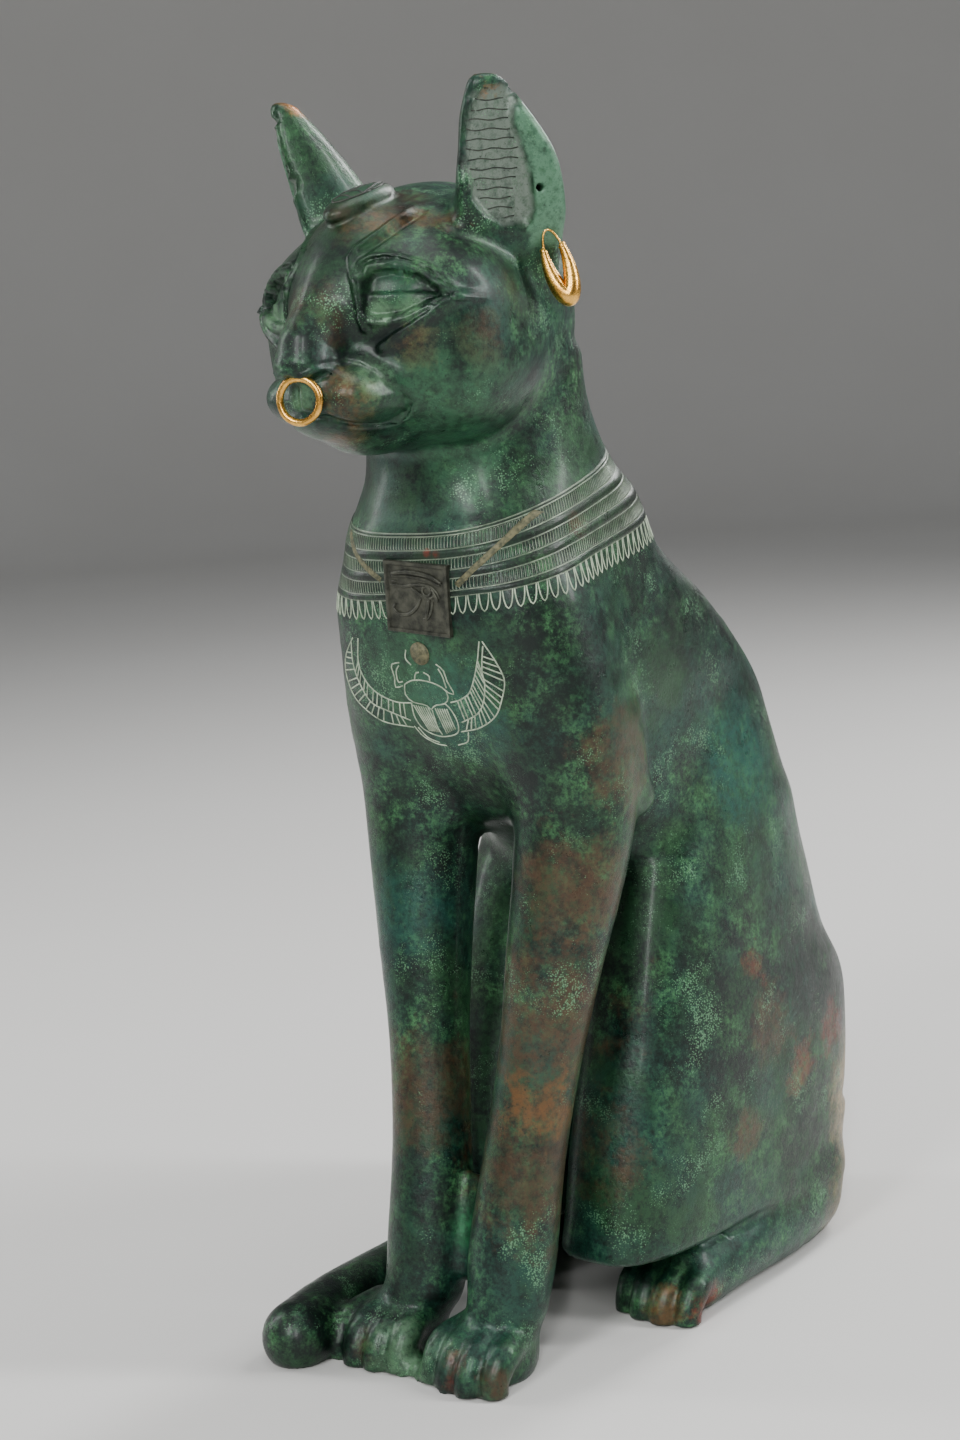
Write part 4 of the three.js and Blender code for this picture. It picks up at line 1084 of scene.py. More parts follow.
def patch_group() -> bpy.types.NodeTree:
    """Makes the group for a ragged patch about one place on the figure.

    Returns:
        The group. The noises of its edge and its flecks are the same for all patches and come from outside.
    """
    bench, given, result = start_group(
        "ragged_patch",
        {
            "Vector": "Vector", "Centre": "Vector", "Radius": "Float", "Ragged": "Float",
            "Edge": "Float", "Flecks": "Float",
        },
        {"Mask": "Float"},
    )
    away = bench.node("ShaderNodeVectorMath", operation="DISTANCE")
    bench.feed(away.inputs[0], given.outputs["Vector"])
    bench.feed(away.inputs[1], given.outputs["Centre"])
    share = bench.math("DIVIDE", away.outputs["Value"], given.outputs["Radius"])
    edge = bench.math("MULTIPLY", given.outputs["Edge"], given.outputs["Ragged"])
    inside = bench.span(bench.math("ADD", share, edge), 1.0, 0.5)
    bench.feed(result.inputs["Mask"], bench.math("MULTIPLY", inside, given.outputs["Flecks"]))
    return bench.tree


@dataclass(frozen=True)
class Patch:
    """A stain of another colour at one place of the form, in the form's millimetres."""

    at: tuple[float, float, float]
    radius: float
    colour: tuple[float, float, float]
    strength: float = 0.7
    ragged: float = 1.6


BROWN = (0.085, 0.043, 0.02)
OCHRE = (0.2, 0.09, 0.022)
RUST = (0.26, 0.03, 0.01)
TEAL = (0.012, 0.1, 0.078)
BLACK_GREEN = (0.003, 0.007, 0.006)
TAN = (0.3, 0.22, 0.11)
GREEN = (0.035, 0.14, 0.065)
PALE_GREEN = (0.16, 0.32, 0.17)
ENGRAVED_PALE = (0.5, 0.6, 0.44)
EAR_GREY = (0.15, 0.19, 0.155)
FLAP_GREEN = (0.085, 0.2, 0.12)
TIP_ORANGE = (0.5, 0.17, 0.03)
ENGRAVED_GROUND = (0.01, 0.012, 0.008)


@dataclass(frozen=True)
class BronzeFinish:
    """Dark green patina on bronze, speckled pale and stained brown, ochre and red in places."""

    dark: tuple[float, float, float] = (0.002, 0.008, 0.006)
    middle: tuple[float, float, float] = (0.014, 0.056, 0.022)
    teal: tuple[float, float, float] = (0.009, 0.05, 0.034)
    light: tuple[float, float, float] = (0.06, 0.19, 0.07)
    speck: tuple[float, float, float] = (0.15, 0.34, 0.18)
    speck_scale: float = 1500
    speck_amount: float = 0.8
    speck_strength: float = 0.6
    roughness: tuple[float, float] = (0.26, 0.46)
    crust_roughness: float = 0.18
    metallic: float = 0.3
    specular: float = 0.4
    coat: float = 0.16
    coat_roughness: float = 0.2
    relief: float = 0.0004
    eye_at: tuple[float, float, float] = (24, -109, 360)
    eye_radius: float = 11
    eye_ragged: float = 0.3
    eye_dullness: float = 0.35
    patches: tuple[Patch, ...] = (
        Patch((34, -62, 118), 34, BROWN, 0.7, 3),
        Patch((30, -66, 70), 32, BROWN, 0.6, 3),
        Patch((30, -70, 92), 14, OCHRE, 0.45, 3.2),
        Patch((47, -45, 205), 22, BROWN, 0.6, 3.2),
        Patch((42, -60, 165), 22, BROWN, 0.7, 2.4),
        Patch((-22, -72, 90), 26, BROWN, 0.6, 2.4),
        Patch((-30, -66, 150), 22, TEAL, 0.4, 2),
        Patch((4, -96, 384), 20, BROWN, 0.4, 2.8),
        Patch((0, -97, 389), 13, (0.02, 0.085, 0.045), 0.9, 1.2),
        Patch((12, -100, 378), 9, OCHRE, 0.35, 3.2),
        Patch((24, -88, 379), 8, OCHRE, 0.35, 3.2),
        Patch((26, -104, 343), 9, OCHRE, 0.5, 2.6),
        Patch((0, -118, 352), 13, BROWN, 0.5, 2.4),
        Patch((40, -92, 342), 11, BROWN, 0.45, 2.4),
        Patch((14, -122, 329), 9, OCHRE, 0.45, 2.8),
        Patch((5, -116, 314), 9, OCHRE, 0.45, 2.8),
        Patch((9.5, -86, 276.4), 1.9, RUST, 0.95, 0.5),
        Patch((13, -85, 276), 1.9, RUST, 0.95, 0.5),
        Patch((16, -84, 275.6), 1.7, RUST, 0.95, 0.5),
        Patch((40, -50, 281), 6, RUST, 0.25, 2.4),
        Patch((12, -82, 222), 22, TEAL, 0.55, 2),
        Patch((26, -94, 330), 24, GREEN, 0.55, 2.2),
        Patch((20, -80, 305), 20, GREEN, 0.5, 2.2),
        Patch((-6, -84, 235), 26, GREEN, 0.45, 2.2),
        Patch((45, 5, 262), 46, BLACK_GREEN, 0.7, 1.4),
        Patch((48, -22, 330), 24, BLACK_GREEN, 0.5, 1.4),
        Patch((52, 30, 190), 26, TEAL, 0.55, 2),
        Patch((56, 60, 110), 32, BLACK_GREEN, 0.8, 1.6),
        Patch((54, 84, 96), 26, BLACK_GREEN, 0.9, 1.4),
        Patch((56, 74, 84), 11, RUST, 0.35, 3.2),
        Patch((57, 48, 76), 11, RUST, 0.35, 3.2),
        Patch((56, 30, 96), 16, BROWN, 0.5, 2.6),
        Patch((56, 84, 132), 15, TEAL, 0.8, 2),
        Patch((50, 98, 52), 32, TAN, 0.95, 1.1),
        Patch((40, 92, 20), 30, TAN, 0.8, 1.1),
        Patch((57, 22, 120), 8, RUST, 0.3, 3.2),
        Patch((57, 10, 62), 11, BROWN, 0.7, 2.4),
        Patch((50, -16, 8), 10, RUST, 0.6, 2.4),
        Patch((44, -30, 10), 9, OCHRE, 0.5, 2.6),
        Patch((31, -104, 6), 9, BROWN, 0.6, 2.4),
        Patch((16, -104, 8), 8, RUST, 0.4, 2.4),
        Patch((-24, -104, 8), 8, BROWN, 0.5, 2.4),
        Patch((40, -80, 419.5), 6.5, TIP_ORANGE, 0.95, 1.2),
        Patch((-40, -80, 419.5), 6.5, TIP_ORANGE, 0.95, 1.2),
        Patch((20, -112, 352.5), 5.5, PALE_GREEN, 0.5, 1.2),
        Patch((28, -108, 353.5), 5, PALE_GREEN, 0.45, 1.2),
        Patch((-20, -112, 352.5), 5.5, PALE_GREEN, 0.6, 1.2),
        Patch((-28, -108, 353.5), 5, PALE_GREEN, 0.5, 1.2),
        Patch((24, -109, 361), 8, (0.02, 0.1, 0.05), 0.75, 0.8),
        Patch((2, -128, 329), 6, PALE_GREEN, 0.5, 1.8),
        Patch((18, -118, 333), 8, PALE_GREEN, 0.45, 2.4),
        Patch((0, -72, 45), 12, (0.02, 0.16, 0.06), 0.8, 1.2),
        Patch((-6, -108, 10), 16, PALE_GREEN, 0.4, 2.4),
    )

    def build(
        self, name: str, groups: dict[str, bpy.types.NodeTree], engraved: bool = False,
    ) -> bpy.types.Material:
        """Makes the material.

        Args:
            name: Its name.
            groups: The shared node groups.
            engraved: Whether the piece's own engraving attribute is filled in pale.

        Returns:
            The material.
        """
        material, bench, shader, place = start_material(name)
        tones = bench.group(
            groups["patina_tones"], Vector=place,
            Dark=(*self.dark, 1), Middle=(*self.middle, 1), Light=(*self.light, 1), Teal=(*self.teal, 1),
        )
        colour, rough = self.stained(bench, groups["ragged_patch"], place, tones)
        specks = bench.group(
            groups["pale_specks"], Vector=place, Scale=self.speck_scale, Amount=self.speck_amount,
        ).outputs["Mask"]
        colour = bench.mix(bench.math("MULTIPLY", specks, self.speck_strength), colour, (*self.speck, 1))
        pits = bench.noise(place, 900, 3, 0.6)
        colour = bench.mix(bench.span(pits, 0.62, 0.72, 0, 0.7), colour, (*self.dark, 1))
        if engraved:
            shade = bench.math("MULTIPLY", bench.attribute("shade"), 0.85)
            colour = bench.mix(shade, colour, (*ENGRAVED_GROUND, 1))
            worn = bench.span(bench.noise(place, 160, 4, 0.6), 0.34, 0.56, 0.55, 1)
            lines = bench.math("MULTIPLY", bench.attribute("engraving"), worn)
            colour = bench.mix(lines, colour, (*ENGRAVED_PALE, 1))
        crust = bench.math("ADD", bench.noise(place, 480, 9, 0.78), bench.math("MULTIPLY", pits, -0.6))
        bench.feed(shader.inputs["Base Color"], colour)
        bench.feed(shader.inputs["Roughness"], rough)
        bench.feed(shader.inputs["Normal"], bench.bump(0.5, self.relief, crust))
        shader.inputs["Metallic"].default_value = self.metallic
        shader.inputs["Specular IOR Level"].default_value = self.specular
        shader.inputs["Coat Weight"].default_value = self.coat
        shader.inputs["Coat Roughness"].default_value = self.coat_roughness
        return material

    def stained(
        self, bench: Bench, ragged_patch: bpy.types.NodeTree, place: bpy.types.NodeSocket,
        tones: bpy.types.Node,
    ) -> tuple[bpy.types.NodeSocket, bpy.types.NodeSocket]:
        """Lays the patches, the ears' own colours and the dull eyes over the patina.

        Args:
            bench: The material's bench.
            ragged_patch: The group for one patch.
            place: The place on the object.
            tones: The patina's node.

        Returns:
            The colour and the roughness.
        """
        edge = bench.math("SUBTRACT", bench.noise(place, 95, 9, 0.76), 0.5)
        flecks = bench.span(bench.noise(place, 300, 6, 0.7), 0.4, 0.56, 0.35, 1)

        def mask(at: Sequence[float], radius: float, ragged: float, strength: float) -> bpy.types.NodeSocket:
            """Places one patch.

            Args:
                at: Its middle, in the form's frame.
                radius: Its radius in millimetres.
                ragged: How ragged its edge is.
                strength: How strong it is.

            Returns:
                How strongly it shows at a place.
            """
            share = bench.group(
                ragged_patch, Vector=place, Centre=tuple(to_part([at])[0]),
                Radius=radius * MM, Ragged=ragged, Edge=edge, Flecks=flecks,
            ).outputs["Mask"]
            return bench.math("MULTIPLY", share, strength)

        colour = tones.outputs["Color"]
        for patch in self.patches:
            share = mask(patch.at, patch.radius, patch.ragged, patch.strength)
            colour = bench.mix(share, colour, (*patch.colour, 1))
        grain = bench.span(bench.noise(place, 380, 6, 0.75), 0.34, 0.54, 0.3, 1)
        for part, paint in (("ear_panel", EAR_GREY), ("ear_flap", FLAP_GREEN)):
            colour = bench.mix(bench.math("MULTIPLY", bench.attribute(part), grain), colour, (*paint, 1))
        rough = bench.span(bench.noise(place, 90, 8, 0.72), 0.36, 0.64, *self.roughness)
        crust = bench.math("MULTIPLY", tones.outputs["Crust"], self.crust_roughness)
        rough = bench.math("ADD", rough, crust, clamp=True)
        x, y, z = self.eye_at
        for side in Side:
            dull = mask((side.value * x, y, z), self.eye_radius, self.eye_ragged, self.eye_dullness)
            rough = bench.math("ADD", rough, dull, clamp=True)
        return colour, rough


@dataclass(frozen=True)
class MetalFinish:
    """A metal or inlay with two tones, fine scratches and some dirt."""

    light: tuple[float, float, float]
    dark: tuple[float, float, float]
    metallic: float
    roughness: float
    grain: float = 300.0

    def build(self, name: str) -> bpy.types.Material:
        """Makes the material.

        Args:
            name: Its name.

        Returns:
            The material.
        """
        material, bench, shader, place = start_material(name)
        broad = bench.noise(place, self.grain, 5, 0.6)
        fine = bench.noise(place, self.grain * 5, 4, 0.6)
        colour = bench.mix(bench.span(broad, 0.38, 0.66), (*self.light, 1), (*self.dark, 1))
        bench.feed(shader.inputs["Base Color"], colour)
        worn, dull = self.roughness * 0.75, self.roughness * 1.35
        bench.feed(shader.inputs["Roughness"], bench.span(fine, 0.3, 0.7, worn, dull))
        bench.feed(shader.inputs["Normal"], bench.bump(0.25, 0.0002, fine))
        shader.inputs["Metallic"].default_value = self.metallic
        return material


# Pieces


@dataclass
class Bronze:
    """The cast figure: the solid's own copy, remeshed evenly and settled on the form."""

    form: CatForm
    voxel: float = 2.8
    piercing: float = 1.3
    piercing_at: tuple[float, float, float] = (50.3, -69.0, 387.1)
    channel_radius: float = 3.2
    foot_layer: float = 0.9
    inlays: tuple[str, ...] = ("wedjat_plaque", "left_pendant_cord", "right_pendant_cord", "scarab_sun_disc")
    fillers: tuple[tuple[float, float, float, float], ...] = (
        (2, -126, 335.5, 6.0), (46.6, -61.5, 374, 4.6), (46, -60, 371.5, 4.2), (44, -58, 375.5, 4.2),
    )

    def rough_mesh(self) -> bpy.types.Mesh:
        """Merges the solid with its inlays and remeshes it evenly.

        Returns:
            A closed mesh of even quads.
        """
        bm = bmesh.new()
        for node in ("cat_figure", *self.inlays):
            bm.from_mesh(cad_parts[node].data)
        bmesh.ops.remove_doubles(bm, verts=bm.verts, dist=1e-6)
        x, y, z = self.piercing_at
        sin, cos = math.sin(self.form.EAR_TURN), math.cos(self.form.EAR_TURN)
        bore = [(x - sin * t, y + cos * t, z, self.channel_radius) for t in range(0, 31, 4)]
        for x, y, z, radius in (*self.fillers, *bore):
            for side in Side:
                centre = Matrix.Translation(Vector(to_part([(side.value * x, y, z)])[0]))
                bmesh.ops.create_icosphere(bm, subdivisions=2, radius=radius * MM, matrix=centre)
        holder = link_new("rough", mesh_from(bm, "rough"))
        remesh = holder.modifiers.new("even", "REMESH")
        remesh.mode = "VOXEL"
        remesh.voxel_size = self.voxel * MM
        return applied(holder, "cat_bronze")

    def refine(self, mesh: bpy.types.Mesh, chosen: Callable[[np.ndarray], np.ndarray]) -> None:
        """Splits the faces of a region once and settles the points.

        Args:
            mesh: The figure's mesh.
            chosen: Says for rows of points in the form's frame which lie in the region.
        """
        bm = bmesh.new()
        bm.from_mesh(mesh)
        bm.verts.ensure_lookup_table()
        inside = chosen(to_form(corners(mesh)))
        edges = [edge for edge in bm.edges if inside[edge.verts[0].index] and inside[edge.verts[1].index]]
        bmesh.ops.subdivide_edges(bm, edges=edges, cuts=1, use_grid_fill=True)
        bm.to_mesh(mesh)
        bm.free()
        self.settle(mesh, 2)

    def settle(self, mesh: bpy.types.Mesh, rounds: int) -> None:
        """Moves the mesh onto the form, and keeps the feet flat on the ground.

        Args:
            mesh: The figure's mesh.
            rounds: How often the points are moved.
        """
        points = to_form(corners(mesh))
        feet = points[:, 2] < GROUND_LEVEL + self.foot_layer
        settled = self.form.settle(points, rounds)
        settled[:, 2] = np.maximum(settled[:, 2], GROUND_LEVEL)
        flat = points[feet]
        flat[:, 2] = GROUND_LEVEL
        shrink = self.form(flat) > -0.05
        flat[shrink] = settled[feet][shrink]
        settled[feet] = flat
        put_corners(mesh, to_part(settled))

    def relax(self, mesh: bpy.types.Mesh) -> None:
        """Evens the mesh out along its surface.

        Args:
            mesh: The figure's mesh.
        """
        bm = bmesh.new()
        bm.from_mesh(mesh)
        for _ in range(2):
            bmesh.ops.smooth_vert(
                bm, verts=bm.verts, factor=0.5, use_axis_x=True, use_axis_y=True, use_axis_z=True,
            )
        bm.to_mesh(mesh)
        bm.free()

    def build(self, material: bpy.types.Material) -> bpy.types.Object:
        """Makes the figure.

        Args:
            material: Its finish.

        Returns:
            The piece that stands for the solid.
        """
        mesh = self.rough_mesh()
        self.relax(mesh)
        self.settle(mesh, 3)
        self.relax(mesh)
        self.settle(mesh, 3)
        for region in (self.head_and_paws, self.face):
            self.refine(mesh, region)
        pierced = self.pierced(mesh)
        self.paint_ears(pierced)
        return new_piece("cat_bronze", pierced, material)

    @staticmethod
    def head_and_paws(points: np.ndarray) -> np.ndarray:
        """Says which points lie in the head or in the paws."""
        x, y, z = points.T
        return (z > 304) | ((z < 30) & (np.abs(x) < 58) & (y < 4))

    @staticmethod
    def face(points: np.ndarray) -> np.ndarray:
        """Says which points lie in the front of the face."""
        return (points[:, 1] < -86) & (points[:, 2] > 314) & (points[:, 2] < 394)

    def paint_ears(self, mesh: bpy.types.Mesh) -> None:
        """Marks the hollow of the ears and the fold beside it for the finish.

        Args:
            mesh: The figure's mesh.
        """
        points = to_form(corners(mesh))
        ex, ey, ez = self.form.on_ear(np.abs(points[:, 0]), points[:, 1], points[:, 2])
        near = fade((knots_at(self.form.ear_front, ez) + 5.5 - ey) / 1.5)
        depth = self.form.hollow(ex, ez)
        beyond = fade((ex - knots_at(self.form.hollow_outer, ez) + 0.4) / 0.8)
        fold = beyond * fade((ez - 368) / 4) * fade((413 - ez) / 3) * near
        for name, value in (("ear_panel", near * fade((depth - 0.7) / 1.6)), ("ear_flap", fold)):
            mesh.attributes.new(name, "FLOAT", "POINT").data.foreach_set("value", value.astype(np.float32))

    def pierced(self, mesh: bpy.types.Mesh) -> bpy.types.Mesh:
        """Cuts the spare piercing through the fold of each ear.

        Args:
            mesh: The whole figure.

        Returns:
            The figure with its two holes.
        """
        bm = bmesh.new()
        for side in Side:
            x, y, z = to_part([(side.value * self.piercing_at[0], *self.piercing_at[1:])])[0]
            across = Matrix.Rotation(side.value * self.form.EAR_TURN, 4, "Z")
            turn = across @ Matrix.Rotation(math.pi / 2, 4, "X")
            bmesh.ops.create_cone(
                bm, cap_ends=True, segments=24, radius1=self.piercing * MM, radius2=self.piercing * MM,
                depth=60 * MM, matrix=Matrix.Translation((x, y, z)) @ turn,
            )
        drill = link_new("drill", mesh_from(bm, "drill"))
        holder = link_new("pierced", mesh)
        cut = holder.modifiers.new("piercings", "BOOLEAN")
        cut.operation = "DIFFERENCE"
        cut.solver = "FAST"
        cut.object = drill
        result = applied(holder, "cat_bronze")
        bpy.data.objects.remove(drill)
        return result


@dataclass
class Collar:
    """The engraved broad collar: hatched bands between plain ones, and a fringe of drops."""

    form: CatForm
    axis_y: float = -38.0
    periods: int = 270
    proud: float = 0.22
    depth: float = 0.3
    sink_depth: float = 1.0
    stroke: tuple[float, ...] = (0.0, 0.12, 0.5, 0.62)
    stroke_marks: tuple[float, ...] = (0.0, 1.0, 1.0, 0.0)
    line_half: float = 0.0085
    hatch_edge: float = 0.004
    plain_shade: float = 1.0
    hatched_shade: float = 0.6
    lines: tuple[float, ...] = (0.0, 0.035, 0.19, 0.30, 0.44, 0.55, 0.70, 0.78)
    hatched: tuple[tuple[float, float], ...] = ((0.048, 0.178), (0.312, 0.428), (0.562, 0.688))
    plain: tuple[tuple[float, float], ...] = ((0.20, 0.29), (0.45, 0.54), (0.71, 0.77))
    fringe_pitch: float = 3.3
    neck_radius: float = 46.0
    drop: Points = ((-0.42, 0.0), (-0.36, 0.45), (-0.2, 0.86), (0, 1.0), (0.2, 0.86), (0.36, 0.45), (0.42, 0))

    def level(self, x: np.ndarray, y: np.ndarray, share: np.ndarray) -> np.ndarray:
        """Height of the collar over a place in plan.

        Args:
            x: The place across.
            y: The place along.
            share: Share of the collar's width, from the top.

        Returns:
            The height.
        """
        top = 282.5 + 0.31 * (y + 85)
        low = 255.5 + 0.18 * (y + 85) + 0.07 * np.clip(x, -25, 25)
        return top + (low - top) * share

    def lay(self, angle: np.ndarray, share: np.ndarray) -> np.ndarray:
        """Finds the places on the neck and chest.

        Args:
            angle: Angle about the neck, from the front towards the left.
            share: Share of the collar's width, from the top.

        Returns:
            Rows of x, y, z in the form's frame.
        """
        sin, cos = np.sin(angle), np.cos(angle)
        low, high = np.full(len(angle), 5.0), np.full(len(angle), 90.0)
        for _ in range(22):
            middle = (low + high) / 2
            x, y = middle * sin, self.axis_y - middle * cos
            inside = self.form(np.stack([x, y, self.level(x, y, share)], 1)) < 0
            low = np.where(inside, middle, low)
            high = np.where(inside, high, middle)
        x, y = low * sin, self.axis_y - low * cos
        return np.stack([x, y, self.level(x, y, share)], 1)

    def rows(self) -> list[tuple[float, float, float]]:
        """Lays out the rows of points across the collar.

        Returns:
            Share, line strength and hatch strength of each row, from the top.
        """
        half, edge = self.line_half, self.hatch_edge
        rows = [(-half, 0.0, 0.0)]
        for share in self.lines:
            rows += [(share - half, 0.0, 0.0), (share, 1.0, 0.0), (share + half, 0.0, 0.0)]
        for start, end in self.hatched:
            rows += [(start, 0.0, 0.0), (start + edge, 0.0, 1.0), (end - edge, 0.0, 1.0), (end, 0.0, 0.0)]
        return sorted(set(rows))

    def build(self, material: bpy.types.Material) -> bpy.types.Object:
        """Makes the collar as a closed band with real grooves.

        Args:
            material: Its finish, which reads the engraving attribute.

        Returns:
            The piece.
        """
        turn = 2 * math.pi / self.periods
        steps = [(i + offset) * turn for i in range(self.periods) for offset in self.stroke]
        angles = np.array(steps) + math.pi
        hatch = np.tile(self.stroke_marks, self.periods)
        rows = self.rows()
        shares = np.array([row[0] for row in rows])
        coarse_angles = np.linspace(angles[0], angles[0] + 2 * math.pi, 181)
        coarse_shares = np.linspace(shares[0], shares[-1], 13)
        grid_angle, grid_share = np.meshgrid(coarse_angles, coarse_shares)
        laid = self.lay(grid_angle.ravel(), grid_share.ravel())
        fields = np.concatenate([laid, self.form.normals(laid)], 1)
        fields = fields.reshape(len(coarse_shares), len(coarse_angles), 6)
        along = np.stack([
            np.stack([np.interp(angles, coarse_angles, fields[r, :, c]) for c in range(6)], 1)
            for r in range(len(coarse_shares))
        ])
        points, lines, shades = [], [], []
        for share, line, hatched in rows:
            place = (share - shares[0]) / (shares[-1] - shares[0]) * (len(coarse_shares) - 1)
            low = min(int(place), len(coarse_shares) - 2)
            fit = along[low] + (along[low + 1] - along[low]) * (place - low)
            mark = np.maximum(line, hatched * hatch)
            points.append(fit[:, :3] + fit[:, 3:] * (self.proud - self.depth * mark)[:, None])
            lines.append(mark)
            plain = any(start < share < end for start, end in self.plain) or line > 0
            shades.append(np.full(len(angles), self.plain_shade if plain else self.hatched_shade))
        return self.close(np.stack(points), np.stack(lines), np.stack(shades), material)

    def close(
        self, points: np.ndarray, marks: np.ndarray, shades: np.ndarray, material: bpy.types.Material,
    ) -> bpy.types.Object:
        """Turns the rows into a closed band.

        Args:
            points: Rows of the collar's outer face, in the form's frame.
            marks: How deep each point is engraved.
            shades: How dark each point's ground is.
            material: The finish.

        Returns:
            The piece.
        """
        row_count, column_count = marks.shape
        bm = bmesh.new()
        engraving = bm.verts.layers.float.new("engraving")
        shade = bm.verts.layers.float.new("shade")
        bmesh.ops.create_grid(bm, x_segments=column_count, y_segments=row_count - 1, size=1)
        grid = sorted(bm.verts, key=lambda v: (round(-v.co.y * (row_count - 1)), v.co.x))
        outer = to_part(points.reshape(-1, 3)).reshape(row_count, column_count, 3)
        for index, vert in enumerate(grid):
            row, column = divmod(index, column_count + 1)
            vert.co = outer[row, column % column_count]
            vert[engraving] = marks[row, column % column_count]
            vert[shade] = shades[row, column % column_count]
        bmesh.ops.remove_doubles(bm, verts=bm.verts, dist=1e-7)
        rims = [edge for edge in bm.edges if edge.is_boundary]
        skirt = bmesh.ops.extrude_edge_only(bm, edges=rims)["geom"]
        sunk = [item for item in skirt if isinstance(item, bmesh.types.BMVert)]
        self.sink(sunk)
        loops = [edge for edge in bm.edges if edge.is_boundary]
        wall = bmesh.ops.bridge_loops(bm, edges=loops)["edges"]
        across = [edge for edge in wall if edge.calc_length() > 5 * MM]
        inner = bmesh.ops.subdivide_edges(bm, edges=across, cuts=3)["geom_inner"]
        self.sink([item for item in inner if isinstance(item, bmesh.types.BMVert)])
        bmesh.ops.recalc_face_normals(bm, faces=bm.faces)
        return new_piece("collar", mesh_from(bm, "collar"), material)

    def sink(self, verts: list[bmesh.types.BMVert]) -> None:
        """Moves points a little below the bronze's surface.

        Args:
            verts: The points.
        """
        before = to_form(np.array([vert.co for vert in verts]))
        for vert, place in zip(verts, to_part(self.form.settle(before, 2, offset=-self.sink_depth))):
            vert.co = place

    def fringe_paths(self) -> list[np.ndarray]:
        """Draws the drops that hang from the collar's last line.

        Returns:
            The drops' outlines, in the part's metres.
        """
        count = round(2 * math.pi * self.neck_radius / self.fringe_pitch)
        shape = smooth_path(self.drop, 11)
        angles, shares = [], []
        for i in range(count):
            angles.append((i + shape[:, 0]) * 2 * math.pi / count)
            shares.append(self.lines[-1] + (1 - self.lines[-1]) * shape[:, 1])
        laid = self.lay(np.concatenate(angles), np.concatenate(shares))
        return list(to_part(laid).reshape(count, len(shape), 3))


@dataclass(frozen=True)
class Wing:
    """One engraved wing: its leading edge, middle line and trailing edge, from the tip to the body."""

    lead: Points
    middle: Points
    trail: Points
    feathers: int = 15

    def paths(self) -> list[np.ndarray]:
        """Draws the wing's edges and feathers.

        Returns:
            Lines of x and z in the form's frame.
        """
        lead, middle, trail = (smooth_path(knots, 40) for knots in (self.lead, self.middle, self.trail))
        lines = [lead, middle, trail]
        for i in range(self.feathers):
            at = int(4 + 34 * i / self.feathers)
            lines.append(np.linspace(middle[at], trail[min(at + 2, 39)], 5))
        for i in range(self.feathers - 3):
            at = int(9 + 29 * i / (self.feathers - 3))
            lines.append(np.linspace(lead[at], middle[min(at + 2, 39)], 4))
        return lines


